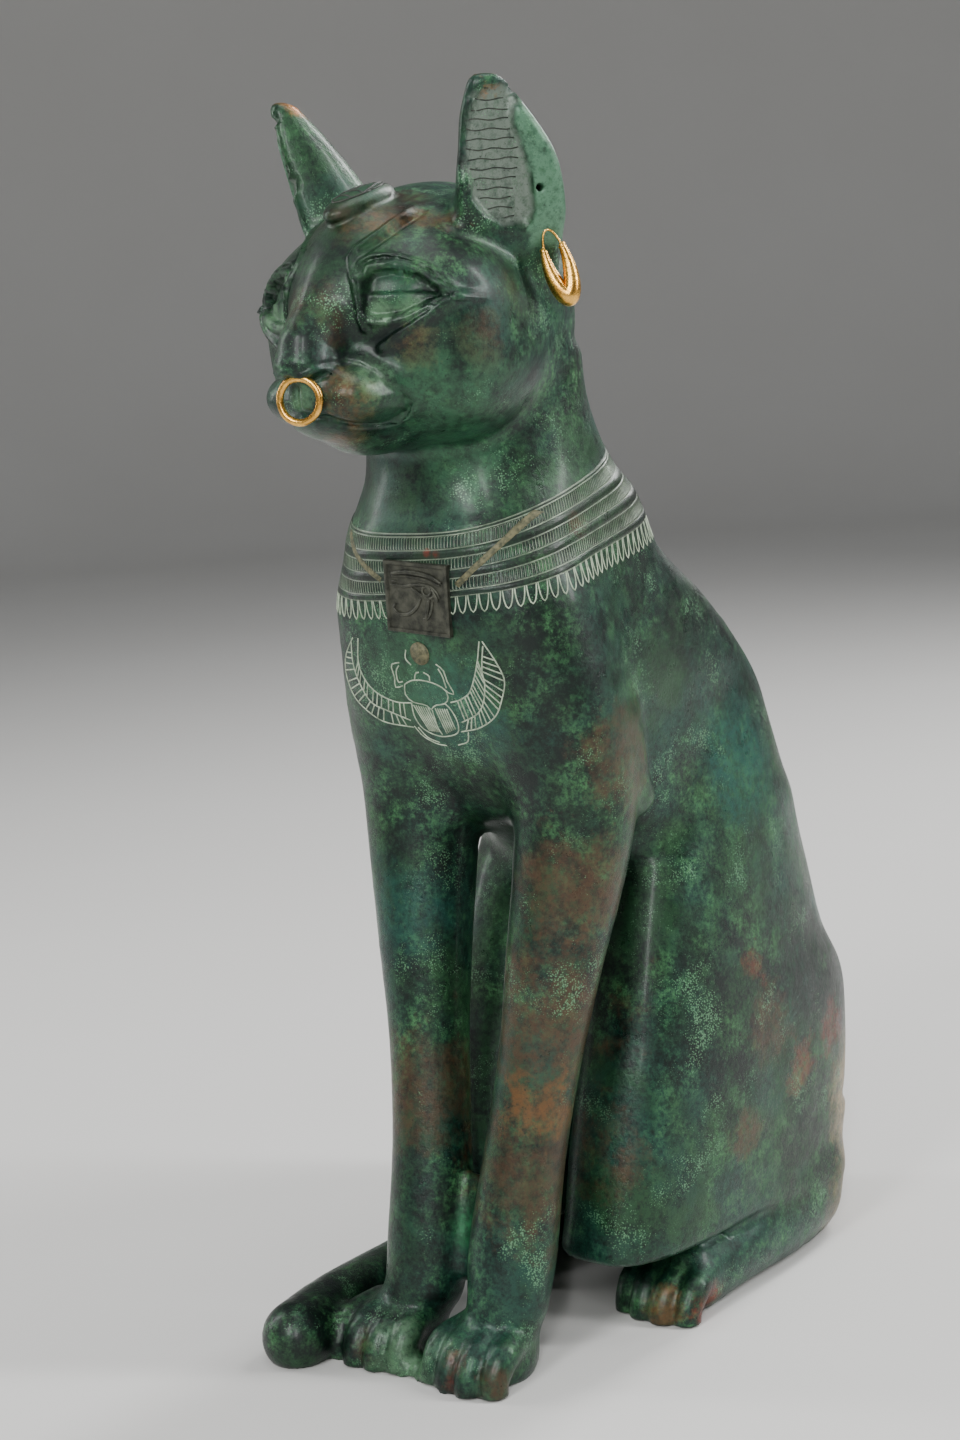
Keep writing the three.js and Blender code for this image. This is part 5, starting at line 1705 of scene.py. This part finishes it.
@dataclass
class Engravings:
    """Fine lines on the bronze: the winged beetle, the crown beetle and the ears' ribs."""

    form: CatForm
    line_radius: float = 0.26
    crown_lines: tuple[Points, ...] = (
        ((-5, -3.6), (-2.5, -2.8), (0, -3.4), (2.5, -2.8), (5, -3.6)),
        ((0, -3.4), (0, 3.5), (0, 11.3)),
        ((-3.8, -8), (0, -6.8), (3.8, -8)),
        ((-5, -3.6), (-3.6, 3), (-1.2, 10.6)),
        ((5, -3.6), (3.6, 3), (1.2, 10.6)),
    )
    crown_at: tuple[float, float] = (-96, 390.5)
    crown_radii: tuple[float, float] = (5.4, 11.5)
    crown_lean: float = 0.3
    rib_levels: tuple[float, float, float] = (379, 417, 2.9)
    rib_points: int = 9
    rib_inset: tuple[float, float] = (1.2, 1.0)
    wings: tuple[Wing, ...] = (
        Wing(
            ((-26, 247.5), (-28.5, 238), (-26.5, 232.5), (-22, 228.5), (-15, 226), (-8, 226)),
            ((-30.5, 246), (-32, 237.5), (-29.5, 229.5), (-26.5, 225), (-20, 222.5), (-11.5, 219.5)),
            (
                (-29, 247.5), (-37.5, 239.5), (-39.5, 234.5), (-36.5, 227), (-31, 222.5), (-23.5, 218.5),
                (-11.5, 217),
            ),
        ),
        Wing(
            ((25.5, 248), (23, 240), (18, 231), (13, 228), (9, 227)),
            ((26.5, 246.5), (24.5, 238), (24.5, 234), (22.5, 228), (18.5, 223.5), (10.5, 220)),
            ((26.5, 248), (30, 241), (31.5, 235), (29.5, 229), (25.5, 223), (17.5, 218.5), (8.5, 216.5)),
        ),
    )
    thorax: Points = (
        (-8.5, 232.5), (-5, 234), (0, 234.2), (5.5, 233), (8.5, 231), (8.5, 228.5), (6.5, 226.5),
        (1.5, 225.5), (0, 224), (-2, 225.5), (-7.5, 226.5), (-9.5, 229), (-8.5, 232.5),
    )
    wing_case: Points = (
        (-8, 226), (-9, 221), (-7.5, 217), (-2, 214.5), (3.5, 214.8), (7.5, 216.5), (8.8, 220.5),
        (8, 224.5), (6.5, 226.5),
    )
    small_lines: tuple[Points, ...] = (
        ((0, 224), (-0.5, 217.5), (0.2, 215)),
        ((-3.5, 234.5), (-2.5, 236.5), (-1, 237)),
        ((1, 237), (3, 235.8), (2.8, 234.2)),
        ((-11, 217.5), (-9, 214), (-4, 211.5), (0, 211)),
        ((-9.5, 217.2), (-7, 213.6), (-2.5, 212)),
        ((11.5, 216.5), (9.5, 213), (5, 211.5)),
        ((-9.5, 232), (-13, 231.3), (-12.2, 235), (-12.4, 239), (-8.5, 240)),
        ((-9, 233.5), (-11, 233.2), (-10.8, 237), (-9, 239)),
        ((7, 240), (9.5, 238), (10, 234.5), (11.5, 230), (9.5, 230.3), (8, 231.5)),
        ((7.5, 238.5), (8.6, 236), (9, 232)),
        ((-4.6, 244.5), (-5.4, 241.5), (-3.6, 239.3)),
    )

    def beetle(self) -> list[np.ndarray]:
        """Draws the beetle between its wings.

        Returns:
            Lines of x and z in the form's frame.
        """
        lines = [smooth_path(knots, 26) for knots in (self.thorax, self.wing_case)]
        lines += [smooth_path(knots, 10) for knots in self.small_lines]
        for i in range(7):
            lines.append(np.linspace((-7.4 + i, 225.4 - 0.1 * i), (-4.8 + i * 0.75, 216.2 - 0.05 * i), 5))
        for i in range(6):
            lines.append(np.linspace((1.6 + 0.95 * i, 224.6), (2.4 + 0.85 * i, 215.6 + 0.35 * i), 5))
        return lines

    def chest(self) -> list[np.ndarray]:
        """Lays the winged beetle's lines on the chest.

        Returns:
            The lines, in the part's metres.
        """
        flat = self.beetle()
        for wing in self.wings:
            flat += wing.paths()
        laid = self.form.from_front(np.concatenate(flat))
        return np.split(to_part(laid), np.cumsum([len(line) for line in flat])[:-1])

    def crown_beetle(self) -> list[np.ndarray]:
        """Lays outline, thorax and wing cases of the small beetle on the crown.

        Returns:
            The lines, in the part's metres.
        """
        around = np.linspace(0, 2 * math.pi, 41)
        across, along = self.crown_radii
        lines = [np.stack([across * np.cos(around), along * np.sin(around)], 1)]
        lines += [smooth_path(knots, 14) for knots in self.crown_lines]
        ahead, height = self.crown_at
        cos, sin = math.cos(self.crown_lean), math.sin(self.crown_lean)
        laid = []
        for x, y in (line.T for line in lines):
            start = np.stack([x, ahead + y * cos, height + y * sin], 1)
            laid.append(to_part(self.form.settle(start, 6)))
        return laid

    def ear_ribs(self) -> list[np.ndarray]:
        """Lays fine level ribs across the hollow of each ear.

        Returns:
            The ribs, in the part's metres.
        """
        ribs = []
        count = self.rib_points
        inset_inner, inset_outer = self.rib_inset
        cos, sin = math.cos(self.form.EAR_TURN), math.sin(self.form.EAR_TURN)
        for level in np.arange(*self.rib_levels):
            inner = knots_at(self.form.hollow_inner, level) + inset_inner
            outer = knots_at(self.form.hollow_outer, level) - inset_outer
            spare = (outer - inner) * (0.18 - 0.18 * math.sin(level * 2.3))
            ex = np.linspace(inner + spare * 0.5, outer - spare, count)
            waved = np.full(count, level) + 0.3 * np.sin(ex * 0.7 + level)
            start = self.form.off_ear(ex, np.full(count, -30.0), waved)
            laid = self.form.along(start, np.tile([-sin, cos, 0.0], (count, 1)), 30.0)
            for side in Side:
                ribs.append(to_part(laid * [side.value, 1, 1]))
        return ribs


def spun_ring(reach: float, radius: float, steps: int) -> bmesh.types.BMesh:
    """Spins a small circle about the Y axis.

    Args:
        reach: How far the circle's middle lies from the axis.
        radius: The circle's radius.
        steps: How many sections the ring has.

    Returns:
        The ring.
    """
    bm = bmesh.new()
    place = Matrix.Translation((reach, 0, 0))
    ring = bmesh.ops.create_circle(bm, segments=16, radius=radius, matrix=place)
    bmesh.ops.spin(
        bm, geom=ring["verts"] + list(bm.edges), cent=(0, 0, 0), axis=(0, 1, 0), angle=2 * math.pi,
        steps=steps, use_merge=True,
    )
    return bm


@dataclass
class NoseRing:
    """The round gold wire through the nose."""

    diameter: float = 15.6
    wire: float = 2.3
    at: tuple[float, float, float] = (2.2, -132.0, 327.9)
    turn: float = math.radians(17)

    def build(self, material: bpy.types.Material) -> bpy.types.Object:
        """Spins the wire about the ring's middle, a little uneven as by hand.

        Args:
            material: Its finish.

        Returns:
            The piece.
        """
        reach = (self.diameter - self.wire) / 2
        bm = spun_ring(reach * MM, self.wire / 2 * MM, 72)
        for vert in bm.verts:
            around = math.atan2(vert.co.z, vert.co.x)
            vert.co *= 1 + 0.006 * math.sin(3 * around + 1) + 0.004 * math.sin(7 * around)
        bmesh.ops.remove_doubles(bm, verts=bm.verts, dist=1e-7)
        place = Matrix.Translation(Vector(to_part([self.at])[0])) @ Matrix.Rotation(self.turn, 4, "Z")
        bmesh.ops.transform(bm, matrix=place, verts=bm.verts)
        bmesh.ops.recalc_face_normals(bm, faces=bm.faces)
        return new_piece("gold_nose_ring", mesh_from(bm, "gold_nose_ring"), material)


@dataclass
class EarRing:
    """A gold crescent on a thin wire that passes through the edge of the ear."""

    side: Side
    height: float = 25.0
    span: float = 6.4
    belly: float = 7.0
    wire: float = 1.2
    at: tuple[float, float, float] = (47.9, -63.8, 374.4)
    turn: float = math.radians(36)
    tilt: float = math.radians(15.5)
    thin_radius: float = 0.38
    ferrule_from: float = 0.25
    ferrule_to: float = 0.31
    ferrule_height: float = 0.28
    ferrule_pace: float = 620.0
    ferrule_step: float = 0.02
    swell: float = 1.6
    proud: float = 0.2

    def radius_at(self, low: float) -> float:
        """Radius of the ring at a place on it.

        Args:
            low: 0 at the ring's top and 1 at its bottom.

        Returns:
            The radius in millimetres: thin wire above, then a ribbed ferrule and the swelling gold.
        """
        step = min(1.0, max(0.0, (low - self.ferrule_from) / self.ferrule_step))
        ribbed = self.ferrule_from < low < self.ferrule_to
        ferrule = self.ferrule_height * ribbed * (0.5 + 0.5 * math.cos(low * self.ferrule_pace))
        gold = self.wire / 2 + (self.belly - self.wire) / 2 * low ** self.swell + self.proud + ferrule
        return self.thin_radius + step * (gold - self.thin_radius)

    def build(self, material: bpy.types.Material) -> bpy.types.Object:
        """Spins a ring and draws it out to a crescent.

        Args:
            material: Its finish.

        Returns:
            The piece.
        """
        spun = 0.25
        bm = spun_ring(1, spun, 128)
        bmesh.ops.remove_doubles(bm, verts=bm.verts, dist=1e-6)
        middle = (self.belly + self.wire) / 2
        high, wide = (self.height - middle) / 2, self.span / 2
        for vert in bm.verts:
            angle = math.atan2(vert.co.z, vert.co.x)
            radius = self.radius_at((1 - math.sin(angle)) / 2)
            outward = (math.hypot(vert.co.x, vert.co.z) - 1) / spun * radius
            sideways = vert.co.y / spun * radius
            vert.co = Vector((
                math.cos(angle) * (wide + outward), sideways, math.sin(angle) * (high + outward) - high,
            )) * MM
        sign = self.side.value
        place = Vector(to_part([(sign * self.at[0], self.at[1], self.at[2])])[0])
        turn = Matrix.Rotation(sign * self.turn, 4, "Z") @ Matrix.Rotation(-sign * self.tilt, 4, "Y")
        bmesh.ops.transform(bm, matrix=Matrix.Translation(place) @ turn, verts=bm.verts)
        bmesh.ops.recalc_face_normals(bm, faces=bm.faces)
        name = f"gold_earring_{self.side.name.lower()}"
        return new_piece(name, mesh_from(bm, name), material)


@dataclass
class Pendant:
    """The silver plaque with a sunk field and an eye in relief."""

    form: CatForm
    width: float = 26.0
    height: float = 23.4
    thickness: float = 3.4
    proud: float = 1.0
    border: float = 1.1
    at: tuple[float, float] = (4.2, 261.8)
    skew: float = math.radians(4)
    rounding: float = 0.35
    field_slope: float = 0.45
    field_depth: float = 0.55
    relief_depth: float = 0.45
    iris_at: tuple[float, float] = (4.3, 2.7)
    iris_radii: tuple[float, float] = (1.7, 1.5)
    iris_line: float = 0.45
    iris_points: int = 20
    strokes: tuple[tuple[float, Points], ...] = (
        (0.85, ((-10, 7.4), (-5.5, 8.2), (-1, 8.4), (6.4, 7.6), (10.6, 5.7))),
        (0.5, ((-10, 6.6), (-2, 7.0), (5, 6.3), (10, 4.9))),
        (0.55, ((-10.4, 3.9), (-5.4, 3.6), (-1.2, 4.3), (3.2, 4.8), (6.4, 4.2), (8.4, 2.8), (9.6, 0.8))),
        (0.4, ((-10, 4.9), (-8, 4.9))),
        (0.5, ((-1.9, 3.5), (2.2, 1.3), (5.2, 0.5), (7.2, 1.4), (7.6, 3.2))),
        (0.6, ((6.6, 3.6), (8.4, 0.6), (8.8, -0.4))),
        (0.65, ((1.7, 0.0), (-0.5, -3.3), (-4.3, -5.6), (-8.2, -5.4), (-9.9, -3.8), (-9.1, -2.6))),
        (0.65, ((5.2, 0.0), (4.3, -3.3), (3.6, -6.0), (2.4, -6.5))),
        (0.5, ((6.6, -0.6), (5.8, -3.6), (4.6, -5.8), (3.4, -6.9))),
    )

    def frame_matrix(self) -> Matrix:
        """Places the plaque's own frame, whose face looks along -Y, on the chest.

        Returns:
            The place and turn.
        """
        half = self.height / 2
        levels = np.array([[self.at[0], self.at[1] + d] for d in (half, -half, 0)])
        top, bottom, middle = self.form.from_front(levels)[:, 1]
        lean = math.atan2(top - bottom, 2 * half)
        spot = to_part([(self.at[0], middle, self.at[1])])[0]
        turn = Matrix.Rotation(-lean, 4, "X") @ Matrix.Rotation(self.skew, 4, "Y")
        sunk = Matrix.Translation((0, (self.thickness / 2 - self.proud) * MM, 0))
        return Matrix.Translation(Vector(spot)) @ turn @ sunk

    def relief_paths(self) -> list[np.ndarray]:
        """Draws the eye's strokes and its iris on the plaque's field.

        Returns:
            Rows of x, y, z in metres and a share of the strokes' radius.
        """
        field_y = -(self.thickness / 2 - self.relief_depth) * MM
        paths = []
        for thick, knots in self.strokes:
            path = smooth_path(knots, 6 * len(knots))
            share = thick * np.sin(np.linspace(0.35, math.pi - 0.2, len(path))) ** 0.4
            paths.append(np.stack([path[:, 0] * MM, np.full(len(path), field_y), path[:, 1] * MM, share], 1))
        turns = np.linspace(0, 2 * math.pi, self.iris_points)
        paths.append(np.stack([
            (self.iris_at[0] + self.iris_radii[0] * np.cos(turns)) * MM,
            np.full(self.iris_points, field_y),
            (self.iris_at[1] + self.iris_radii[1] * np.sin(turns)) * MM,
            np.full(self.iris_points, self.iris_line),
        ], 1))
        return paths

    def build(self, material: bpy.types.Material) -> bpy.types.Object:
        """Makes the plate with a sunk field and its raised eye.

        Args:
            material: Its finish.

        Returns:
            The piece.
        """
        bm = bmesh.new()
        size = Matrix.Diagonal((self.width * MM, self.thickness * MM, self.height * MM, 1))
        bmesh.ops.create_cube(bm, size=1, matrix=size)
        front = min(bm.faces, key=lambda face: face.calc_center_median().y)
        bmesh.ops.bevel(
            bm, geom=list(front.edges), offset=self.rounding * MM, segments=2, profile=0.5,
            affect="EDGES", material=-1,
        )
        front = min(bm.faces, key=lambda face: (round(face.calc_center_median().y, 6), -face.calc_area()))
        bmesh.ops.inset_region(bm, faces=[front], thickness=self.border * MM, depth=0)
        bmesh.ops.inset_region(
            bm, faces=[front], thickness=self.field_slope * MM, depth=-self.field_depth * MM,
        )
        relief = threads("eye_relief", self.relief_paths(), 1.0 * MM, 3)
        relief.shade_smooth()
        bm.from_mesh(relief)
        bmesh.ops.transform(bm, matrix=self.frame_matrix(), verts=bm.verts)
        name = "silver_eye_plaque"
        return new_piece(name, mesh_from(bm, name), material, smooth=False)


@dataclass
class CordStrip:
    """One strip of the pendant's cord, inlaid in the chest."""

    form: CatForm
    name: str
    knots: Points
    width: float = 2.2
    proud: float = 0.3
    depth: float = 1.2
    half_section: Points = ((-0.5, -1), (-0.5, 0.02), (-0.42, 0.7), (-0.2, 1.0), (0.0, 0.8))

    def build(self, material: bpy.types.Material) -> bpy.types.Object:
        """Sweeps a low rounded section along the strip.

        Args:
            material: Its finish.

        Returns:
            The piece.
        """
        path = smooth_path(self.knots, 30)
        ahead = np.gradient(path, axis=0)
        across = np.stack([-ahead[:, 1], ahead[:, 0]], 1) / np.linalg.norm(ahead, axis=1, keepdims=True)
        section = [*self.half_section, *((-side, height) for side, height in self.half_section[-2::-1])]
        bm = bmesh.new()
        rings = []
        for side, height in section:
            laid = self.form.from_front(path + across * side * self.width)
            lift = height * (self.proud if height > 0 else self.depth)
            places = to_part(laid + self.form.normals(laid) * lift)
            rings.append([bm.verts.new(place) for place in places])
        count = len(rings)
        for i in range(count):
            here, there = rings[i], rings[(i + 1) % count]
            for a, b, c, d in zip(here, here[1:], there[1:], there):
                bm.faces.new((a, b, c, d))
        bm.faces.new([ring[0] for ring in rings])
        bm.faces.new([ring[-1] for ring in rings])
        bmesh.ops.recalc_face_normals(bm, faces=bm.faces)
        return new_piece(self.name, mesh_from(bm, self.name), material)


@dataclass
class SunDisc:
    """The inlaid disc above the winged beetle."""

    form: CatForm
    diameter: float = 7.6
    at: tuple[float, float] = (1.2, 243.4)
    depth: float = 1.2
    steps: Points = ((0.35, 0.28), (0.5, 0.06), (1.4, 0.03))

    def build(self, material: bpy.types.Material) -> bpy.types.Object:
        """Makes a low dome laid on the chest.

        Args:
            material: Its finish.

        Returns:
            The piece.
        """
        bm = bmesh.new()
        bmesh.ops.create_circle(bm, cap_ends=True, segments=40, radius=self.diameter / 2)
        face = bm.faces[:]
        for inset, lift in self.steps:
            bmesh.ops.inset_region(bm, faces=face, thickness=inset, depth=lift)
        rim = [edge for edge in bm.edges if edge.is_boundary]
        for item in bmesh.ops.extrude_edge_only(bm, edges=rim)["geom"]:
            if isinstance(item, bmesh.types.BMVert):
                item.co.z = -self.depth
        bmesh.ops.holes_fill(bm, edges=[edge for edge in bm.edges if edge.is_boundary])
        flat = np.array([vert.co[:] for vert in bm.verts])
        laid = self.form.from_front(flat[:, :2] + np.array(self.at))
        lifted = laid + self.form.normals(laid) * flat[:, 2:3]
        for vert, place in zip(bm.verts, to_part(lifted)):
            vert.co = place
        bmesh.ops.recalc_face_normals(bm, faces=bm.faces)
        return new_piece("sun_disc", mesh_from(bm, "sun_disc"), material)


@dataclass(frozen=True)
class SoftLight:
    """An area light that looks at the figure, with its place as the camera sees it, in metres."""

    name: str
    right: float
    towards: float
    height: float
    size: tuple[float, float]
    watts: float


@dataclass
class Studio:
    """A plain pale floor with an upturned rim, soft lights and the camera at the photo's angle."""

    centre: tuple[float, float, float] = (0.0, -0.05, 0.2)
    camera_at: tuple[float, float, float] = (0.51558, -0.73387, 0.34623)
    azimuth: float = math.radians(39.28)
    pitch: float = math.radians(9.2)
    roll: float = math.radians(-3.81)
    lens: float = 61.68
    floor_radius: float = 4.0
    rim_height: float = 2.4
    paper: tuple[tuple[float, ...], ...] = ((0.62, 0.61, 0.59, 1), (0.66, 0.655, 0.64, 1))
    sky: tuple[float, ...] = (0.82, 0.86, 0.9, 1)
    sky_strength: float = 0.17
    lights: tuple[SoftLight, ...] = (
        SoftLight("key", -0.8, 1.3, 1.15, (0.35, 0.8), 16),
        SoftLight("flank", 1.2, 0.25, 0.95, (0.12, 1.1), 18),
        SoftLight("back_edge", 0.85, -0.95, 1.2, (0.22, 1.0), 20),
        SoftLight("left_edge", -1.2, -0.4, 0.8, (0.2, 1.2), 8),
        SoftLight("chest_strip", -0.15, 1.5, 0.9, (0.07, 0.8), 10),
        SoftLight("overhead", 0.1, 0.1, 1.9, (0.9, 0.9), 10),
    )

    def axes(self) -> tuple[Vector, Vector, Vector]:
        """Works out how the camera is turned.

        Returns:
            Its right, up and forward directions.
        """
        cos, sin = math.cos(self.azimuth), math.sin(self.azimuth)
        forward = Vector((-sin * math.cos(self.pitch), cos * math.cos(self.pitch), -math.sin(self.pitch)))
        level = Vector((cos, sin, 0))
        upright = level.cross(forward)
        cos, sin = math.cos(self.roll), math.sin(self.roll)
        return level * cos + upright * sin, upright * cos - level * sin, forward

    def add_camera(self) -> None:
        """Adds the camera at the photo's angle."""
        right, up, forward = self.axes()
        data = bpy.data.cameras.new("camera")
        data.sensor_fit = "AUTO"
        data.sensor_width = 36
        data.lens = self.lens
        data.clip_start = 0.01
        camera = link_new("camera", data)
        turn = Matrix((right, up, -forward)).transposed().to_4x4()
        camera.matrix_world = Matrix.Translation(self.camera_at) @ turn
        bpy.context.scene.camera = camera

    def add_light(self, lamp: SoftLight) -> None:
        """Adds an area light that looks at the figure.

        Args:
            lamp: The light.
        """
        cos, sin = math.cos(self.azimuth), math.sin(self.azimuth)
        centre = Vector(self.centre)
        level = Vector((cos, sin, 0)) * lamp.right + Vector((sin, -cos, 0)) * lamp.towards
        at = Vector((centre.x, centre.y, 0)) + level
        at.z = lamp.height
        data = bpy.data.lights.new(lamp.name, "AREA")
        data.shape = "RECTANGLE"
        data.size, data.size_y = lamp.size
        data.energy = lamp.watts
        turn = (centre - at).to_track_quat("-Z", "Y").to_matrix().to_4x4()
        link_new(lamp.name, data).matrix_world = Matrix.Translation(at) @ turn

    def add_floor(self) -> None:
        """Spins the floor's profile, with its upturned rim, about the middle."""
        bm = bmesh.new()
        flat, bend = self.floor_radius * 0.75, self.floor_radius * 0.25
        profile = [(0.0, 0.0), (self.floor_radius * 0.5, 0.0), (flat, 0.0)]
        for angle in (math.pi / 2 * i / 8 for i in range(1, 9)):
            profile.append((flat + bend * math.sin(angle), bend * (1 - math.cos(angle))))
        profile.append((self.floor_radius, self.rim_height))
        verts = [bm.verts.new((r, 0, z)) for r, z in profile]
        edges = [bm.edges.new(pair) for pair in zip(verts, verts[1:])]
        bmesh.ops.spin(
            bm, geom=verts + edges, cent=(0, 0, 0), axis=(0, 0, 1), angle=2 * math.pi, steps=96,
            use_merge=True,
        )
        bmesh.ops.remove_doubles(bm, verts=bm.verts, dist=1e-5)
        bmesh.ops.recalc_face_normals(bm, faces=bm.faces)
        bmesh.ops.reverse_faces(bm, faces=bm.faces)
        material, bench, shader, place = start_material("floor_paper")
        bench.feed(shader.inputs["Base Color"], bench.mix(bench.noise(place, 3, 3), *self.paper))
        shader.inputs["Roughness"].default_value = 0.85
        shader.inputs["Specular IOR Level"].default_value = 0.2
        floor = new_piece("studio_floor", mesh_from(bm, "studio_floor"), material)

    def build(self) -> None:
        """Sets the studio up."""
        self.add_camera()
        self.add_floor()
        world = bpy.data.worlds.new("studio")
        world.use_nodes = True
        sky = world.node_tree.nodes["Background"]
        sky.inputs["Color"].default_value = self.sky
        sky.inputs["Strength"].default_value = self.sky_strength
        bpy.context.scene.world = world
        for lamp in self.lights:
            self.add_light(lamp)


def settle_piece(piece: bpy.types.Object, slot: Slot, *nodes: str) -> None:
    """Puts a piece on the body and hides the solids it stands for.

    Args:
        piece: The piece.
        slot: Not used.
        *nodes: The solids' names.
    """
    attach(piece, "root")
    if nodes:
        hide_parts(*nodes)
    LOG.info("%s: %d points, %d faces", piece.name, len(piece.data.vertices), len(piece.data.polygons))


GOLD = MetalFinish((0.95, 0.55, 0.13), (0.6, 0.3, 0.06), 1.0, 0.27)
SILVER = MetalFinish((0.078, 0.08, 0.06), (0.022, 0.024, 0.018), 0.5, 0.42)
INLAY = MetalFinish((0.17, 0.16, 0.085), (0.05, 0.055, 0.03), 0.3, 0.55, 700.0)
DARK_LINES = MetalFinish((0.03, 0.035, 0.025), (0.008, 0.012, 0.01), 0.0, 0.5)
PALE_FILL = MetalFinish((0.46, 0.54, 0.4), (0.2, 0.26, 0.18), 0.0, 0.6)

CORDS = {
    Side.LEFT: ((20, 266), (25, 270.5), (30, 275.5), (34.5, 281), (38, 287.5)),
    Side.RIGHT: ((-10.5, 267.5), (-16.5, 271), (-23, 276), (-28, 282.5)),
}

FRINGE_RADIUS = 0.24
CROWN_LINE_RADIUS = 0.36
RIB_RADIUS = 0.2


def line_piece(
    name: str, paths: Sequence[np.ndarray], radius: float, material: bpy.types.Material,
) -> bpy.types.Object:
    """Makes a piece of thin lines.

    Args:
        name: Its name.
        paths: The lines, in the part's metres.
        radius: Their radius in millimetres.
        material: Its finish.

    Returns:
        The piece.
    """
    return new_piece(name, threads(name, paths, radius * MM), material)


def main() -> None:
    """Builds the finishes and the studio, then the pieces in order."""
    logging.basicConfig(level=logging.INFO, format="%(message)s")
    form = CatForm()
    groups = {
        "patina_tones": patina_tones_group(),
        "pale_specks": speckle_group(),
        "ragged_patch": patch_group(),
    }
    finish = BronzeFinish()
    bronze = finish.build("patinated_bronze", groups)
    engraved = finish.build("engraved_bronze", groups, engraved=True)
    gold = GOLD.build("worn_gold")
    silver = SILVER.build("dark_silver")
    inlay = INLAY.build("pale_inlay")
    dark = DARK_LINES.build("dark_lines")
    pale = PALE_FILL.build("pale_fill")
    Studio().build()
    settle_piece(Bronze(form).build(bronze), Slot.BRONZE, "cat_figure")
    collar = Collar(form)
    settle_piece(collar.build(engraved), Slot.BRONZE)
    cuts = Engravings(form)
    for name, paths, radius, material in (
        ("collar_fringe", collar.fringe_paths(), FRINGE_RADIUS, pale),
        ("winged_beetle", cuts.chest(), cuts.line_radius, pale),
        ("crown_beetle_lines", cuts.crown_beetle(), CROWN_LINE_RADIUS, dark),
        ("ear_ribs", cuts.ear_ribs(), RIB_RADIUS, dark),
    ):
        settle_piece(line_piece(name, paths, radius, material), Slot.BRONZE)
    settle_piece(NoseRing().build(gold), Slot.GOLD, "nose_ring")
    for side in Side:
        settle_piece(EarRing(side).build(gold), Slot.GOLD, f"{side.name.lower()}_earring")
    settle_piece(Pendant(form).build(silver), Slot.SILVER, "wedjat_plaque")
    for side, knots in CORDS.items():
        label = side.name.lower()
        strip = CordStrip(form, f"{label}_cord", knots)
        settle_piece(strip.build(inlay), Slot.INLAY, f"{label}_pendant_cord")
    settle_piece(SunDisc(form).build(inlay), Slot.INLAY, "scarab_sun_disc")


if __name__ == "__main__":
    main()
